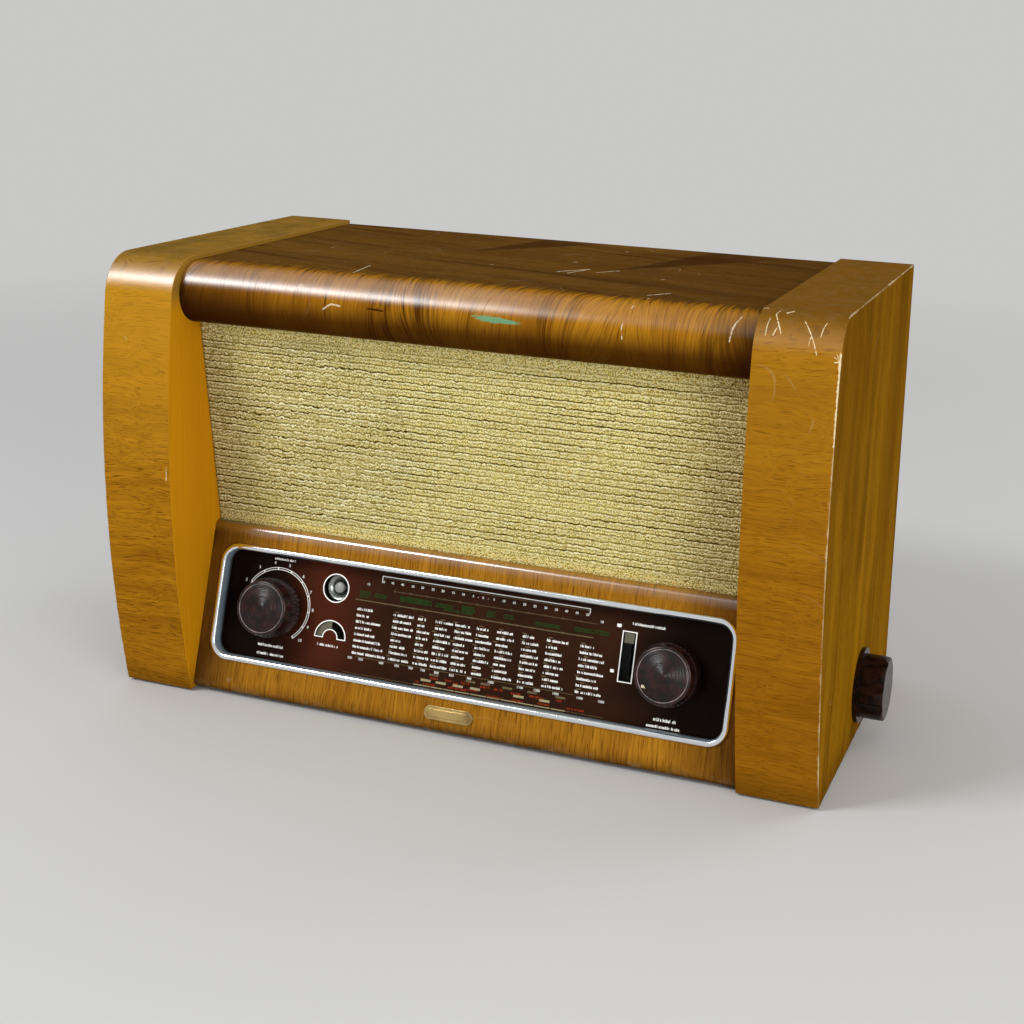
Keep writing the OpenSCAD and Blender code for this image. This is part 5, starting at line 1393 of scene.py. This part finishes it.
def makeDialPrint(spec):
    inks = {name: bmesh.new() for name in ("white", "tan", "cream", "green", "red")}
    white, tan, cream, green, red = inks.values()
    printRings(white, spec)
    high = spec["figureHigh"]
    for row in ("volumeNumbers", "topNumbers"):
        for x, v, text in spec[row]:
            addNumber(white, text, x, v, high[row])
    for text, x in spec["lowNumbers"].items():
        addNumber(white, text, x, spec["lowLine"], high["lowNumbers"])
    for ink, bars in spec["bars"].items():
        for bar in bars:
            addBar(inks[ink], *bar)
    printNames(white, tan, spec)
    printScales(tan, cream, green, red, spec)
    for name, builder in inks.items():
        mesh = finishMesh("print_" + name, builder)
        addPiece("print_" + name, mesh, "ink" + name.title(), "cabinet", inkFrame)


makeGround(dialPrint)
makeDialPrint(dialPrint)
print("dial printed")


# Magic eye: the target dish and its cap inside the glass

eyeParts = {
    "place": (-120.5, 99.3),
    "dish": (10.4, -19.2, -24.0),   # radius, and height of the rim and of the well
    "wall": (4.0, 0.6, 0.8),        # radius of the well, width of the rim and thickness
    "cap": (4.6, -18.6),            # radius, and height of its front
    "capFall": ((0.7, 0.25), (0.95, 0.9), (1.0, 1.8)),  # share of the radius, and depth behind the front
    "capBase": 0.9, "pin": 0.4,
}


def spin(builder, profile, centre, steps=48):
    # Turns a closed profile of radius and depth round an axis of the dial
    rings = []
    for i in range(steps):
        angle = 2 * math.pi * i / steps
        across, up = math.cos(angle), math.sin(angle)
        rings.append([builder.verts.new((centre[0] + r * across, centre[1] + r * up, w))
                      for r, w in profile])
    count = len(profile)
    for i in range(steps):
        a, b = rings[i], rings[(i + 1) % steps]
        for k in range(count):
            builder.faces.new((a[k], a[(k + 1) % count], b[(k + 1) % count], b[k]))


def makeEye(spec):
    dish = bmesh.new()
    radius, rim, well = spec["dish"]
    wellRadius, rimWide, thick = spec["wall"]
    spin(dish, [(wellRadius, well), (radius - rimWide, rim), (radius, rim), (radius, rim - thick),
                (wellRadius, well - thick)], spec["place"])
    addPiece("eye_target", finishMesh("eye_target", dish, True), "eyeTarget", "cabinet",
             inkFrame)
    cap = bmesh.new()
    across, front = spec["cap"]
    pin = spec["pin"]
    spin(cap, [(pin, front)] + [(across * share, front - deep) for share, deep in spec["capFall"]] +
         [(across * spec["capBase"], well), (pin, well)], spec["place"])
    for end in (front, well):
        ring = [p for p in cap.verts if abs(p.co.z - end) < 1e-6 and math.hypot(
            p.co.x - spec["place"][0], p.co.y - spec["place"][1]) < 0.5]
        cap.faces.new(ring)
    addPiece("eye_cap", finishMesh("eye_cap", cap, True), "eyeCap", "cabinet", inkFrame)


makeEye(eyeParts)
print("magic eye set")


# Second finishes inside some nodes: coils, pins, lamp caps and knob marks, by the place of each face

def splitFinish(name, finish, test):
    piece = nodes[name]
    piece.data.materials.append(finishes[finish])
    index = len(piece.data.materials) - 1
    for face in piece.data.polygons:
        if test(face.center):
            face.material_index = index


transformers = {
    "middle": 0.096,            # from front to back, the same for both
    "coilFoot": 0.0745, "strapTop": 0.0727,
    "coreHalf": {"mains_transformer": 0.0171, "output_transformer": 0.0111},
}
knobMark = {"axis": (0.171, 0.076), "reach": 0.0175, "angle": math.radians(215), "size": 0.0013,
            "level": 0.0154}
backCover = {"face": 0.1521, "screwsFrom": 0.2, "grommet": (0.12, 0.048, 0.0095)}   # x, z and radius
tagStrip = (0.1399, 0.1521)     # depths between which the strip itself lies
# height under which each of these has metal pins or a rubber foot
footTops = {"valves": ("brightSteel", 0.0816), "smoothing_capacitor": ("blackRubber", 0.0766),
            "valve_sockets": ("brightSteel", 0.0635)}
# height over the dial under which each of these has its socket or its cap
capFronts = {"magic_eye": ("socketBakelite", -0.0636), "dial_lamps": ("brass", -0.0281)}


def onDial(p):
    return dialFrame.inverted() @ p


def inKnobMark(p):
    own, angle = onDial(p), knobMark["angle"]
    x = knobMark["axis"][0] + knobMark["reach"] * math.cos(angle)
    v = knobMark["axis"][1] + knobMark["reach"] * math.sin(angle)
    return own.z > knobMark["level"] and math.hypot(own.x - x, own.y - v) < knobMark["size"]


def inGrommet(p):
    x, z, radius = backCover["grommet"]
    return math.hypot(p.x - x, p.z - z) < radius


for name, half in transformers["coreHalf"].items():
    splitFinish(name, "coilWrap", lambda p: abs(p.y - transformers["middle"]) > half and
                p.z > transformers["coilFoot"])
    splitFinish(name, "zincSteel", lambda p: p.z < transformers["strapTop"])
splitFinish("tuning_knob", "ivoryPlastic", inKnobMark)
for name, (finish, top) in footTops.items():
    splitFinish(name, finish, lambda p: p.z < top)
splitFinish("terminal_strip", "brightSteel", lambda p: not tagStrip[0] <= p.y <= tagStrip[1])
splitFinish("back_cover", "zincSteel", lambda p: p.y > backCover["face"] and
            abs(p.x) > backCover["screwsFrom"])
splitFinish("back_cover", "blackRubber", inGrommet)
for name, (finish, front) in capFronts.items():
    splitFinish(name, finish, lambda p: onDial(p).z < front)
print("second finishes laid")


# Floor

def makeFloor(spec):
    finish = bpy.data.materials.new("paleFloor")
    finish.use_nodes = True
    tree = finish.node_tree
    tree.nodes.clear()
    where = read(tree, "ShaderNodeTexCoord", output="Object")
    darker = tuple(0.985 * c for c in spec["floor"])
    colour = blend(remap(cloud(where, 2.0), 0.3, 0.7), spec["floor"], darker)
    ground = read(tree, "ShaderNodeBsdfPrincipled", {"Base Color": colour, "Roughness": 0.7})
    # far off, the floor runs into the backdrop
    far = ease(vectorMath("LENGTH", where), *spec["fade"])
    distance = read(tree, "ShaderNodeEmission", {"Color": spec["backdrop"], "Strength": 1})
    both = read(tree, "ShaderNodeMixShader", {0: far * seenDirectly(tree), 1: ground, 2: distance})
    # seen from below, the floor is clear, so the underside can be looked at
    behind = read(tree, "ShaderNodeNewGeometry", output="Backfacing")
    clear = read(tree, "ShaderNodeBsdfTransparent")
    put(tree, "ShaderNodeOutputMaterial", {"Surface": read(tree, "ShaderNodeMixShader", {
        0: behind, 1: both, 2: clear})})
    mesh = bpy.data.meshes.new("floor")
    half = spec["floorHalf"]
    mesh.from_pydata([(-half, -half, 0), (half, -half, 0), (half, half, 0), (-half, half, 0)], [],
                     [(0, 1, 2, 3)])
    mesh.materials.append(finish)
    floor = bpy.data.objects.new("floor", mesh)
    bpy.context.scene.collection.objects.link(floor)


makeFloor(studio)
print("floor laid")
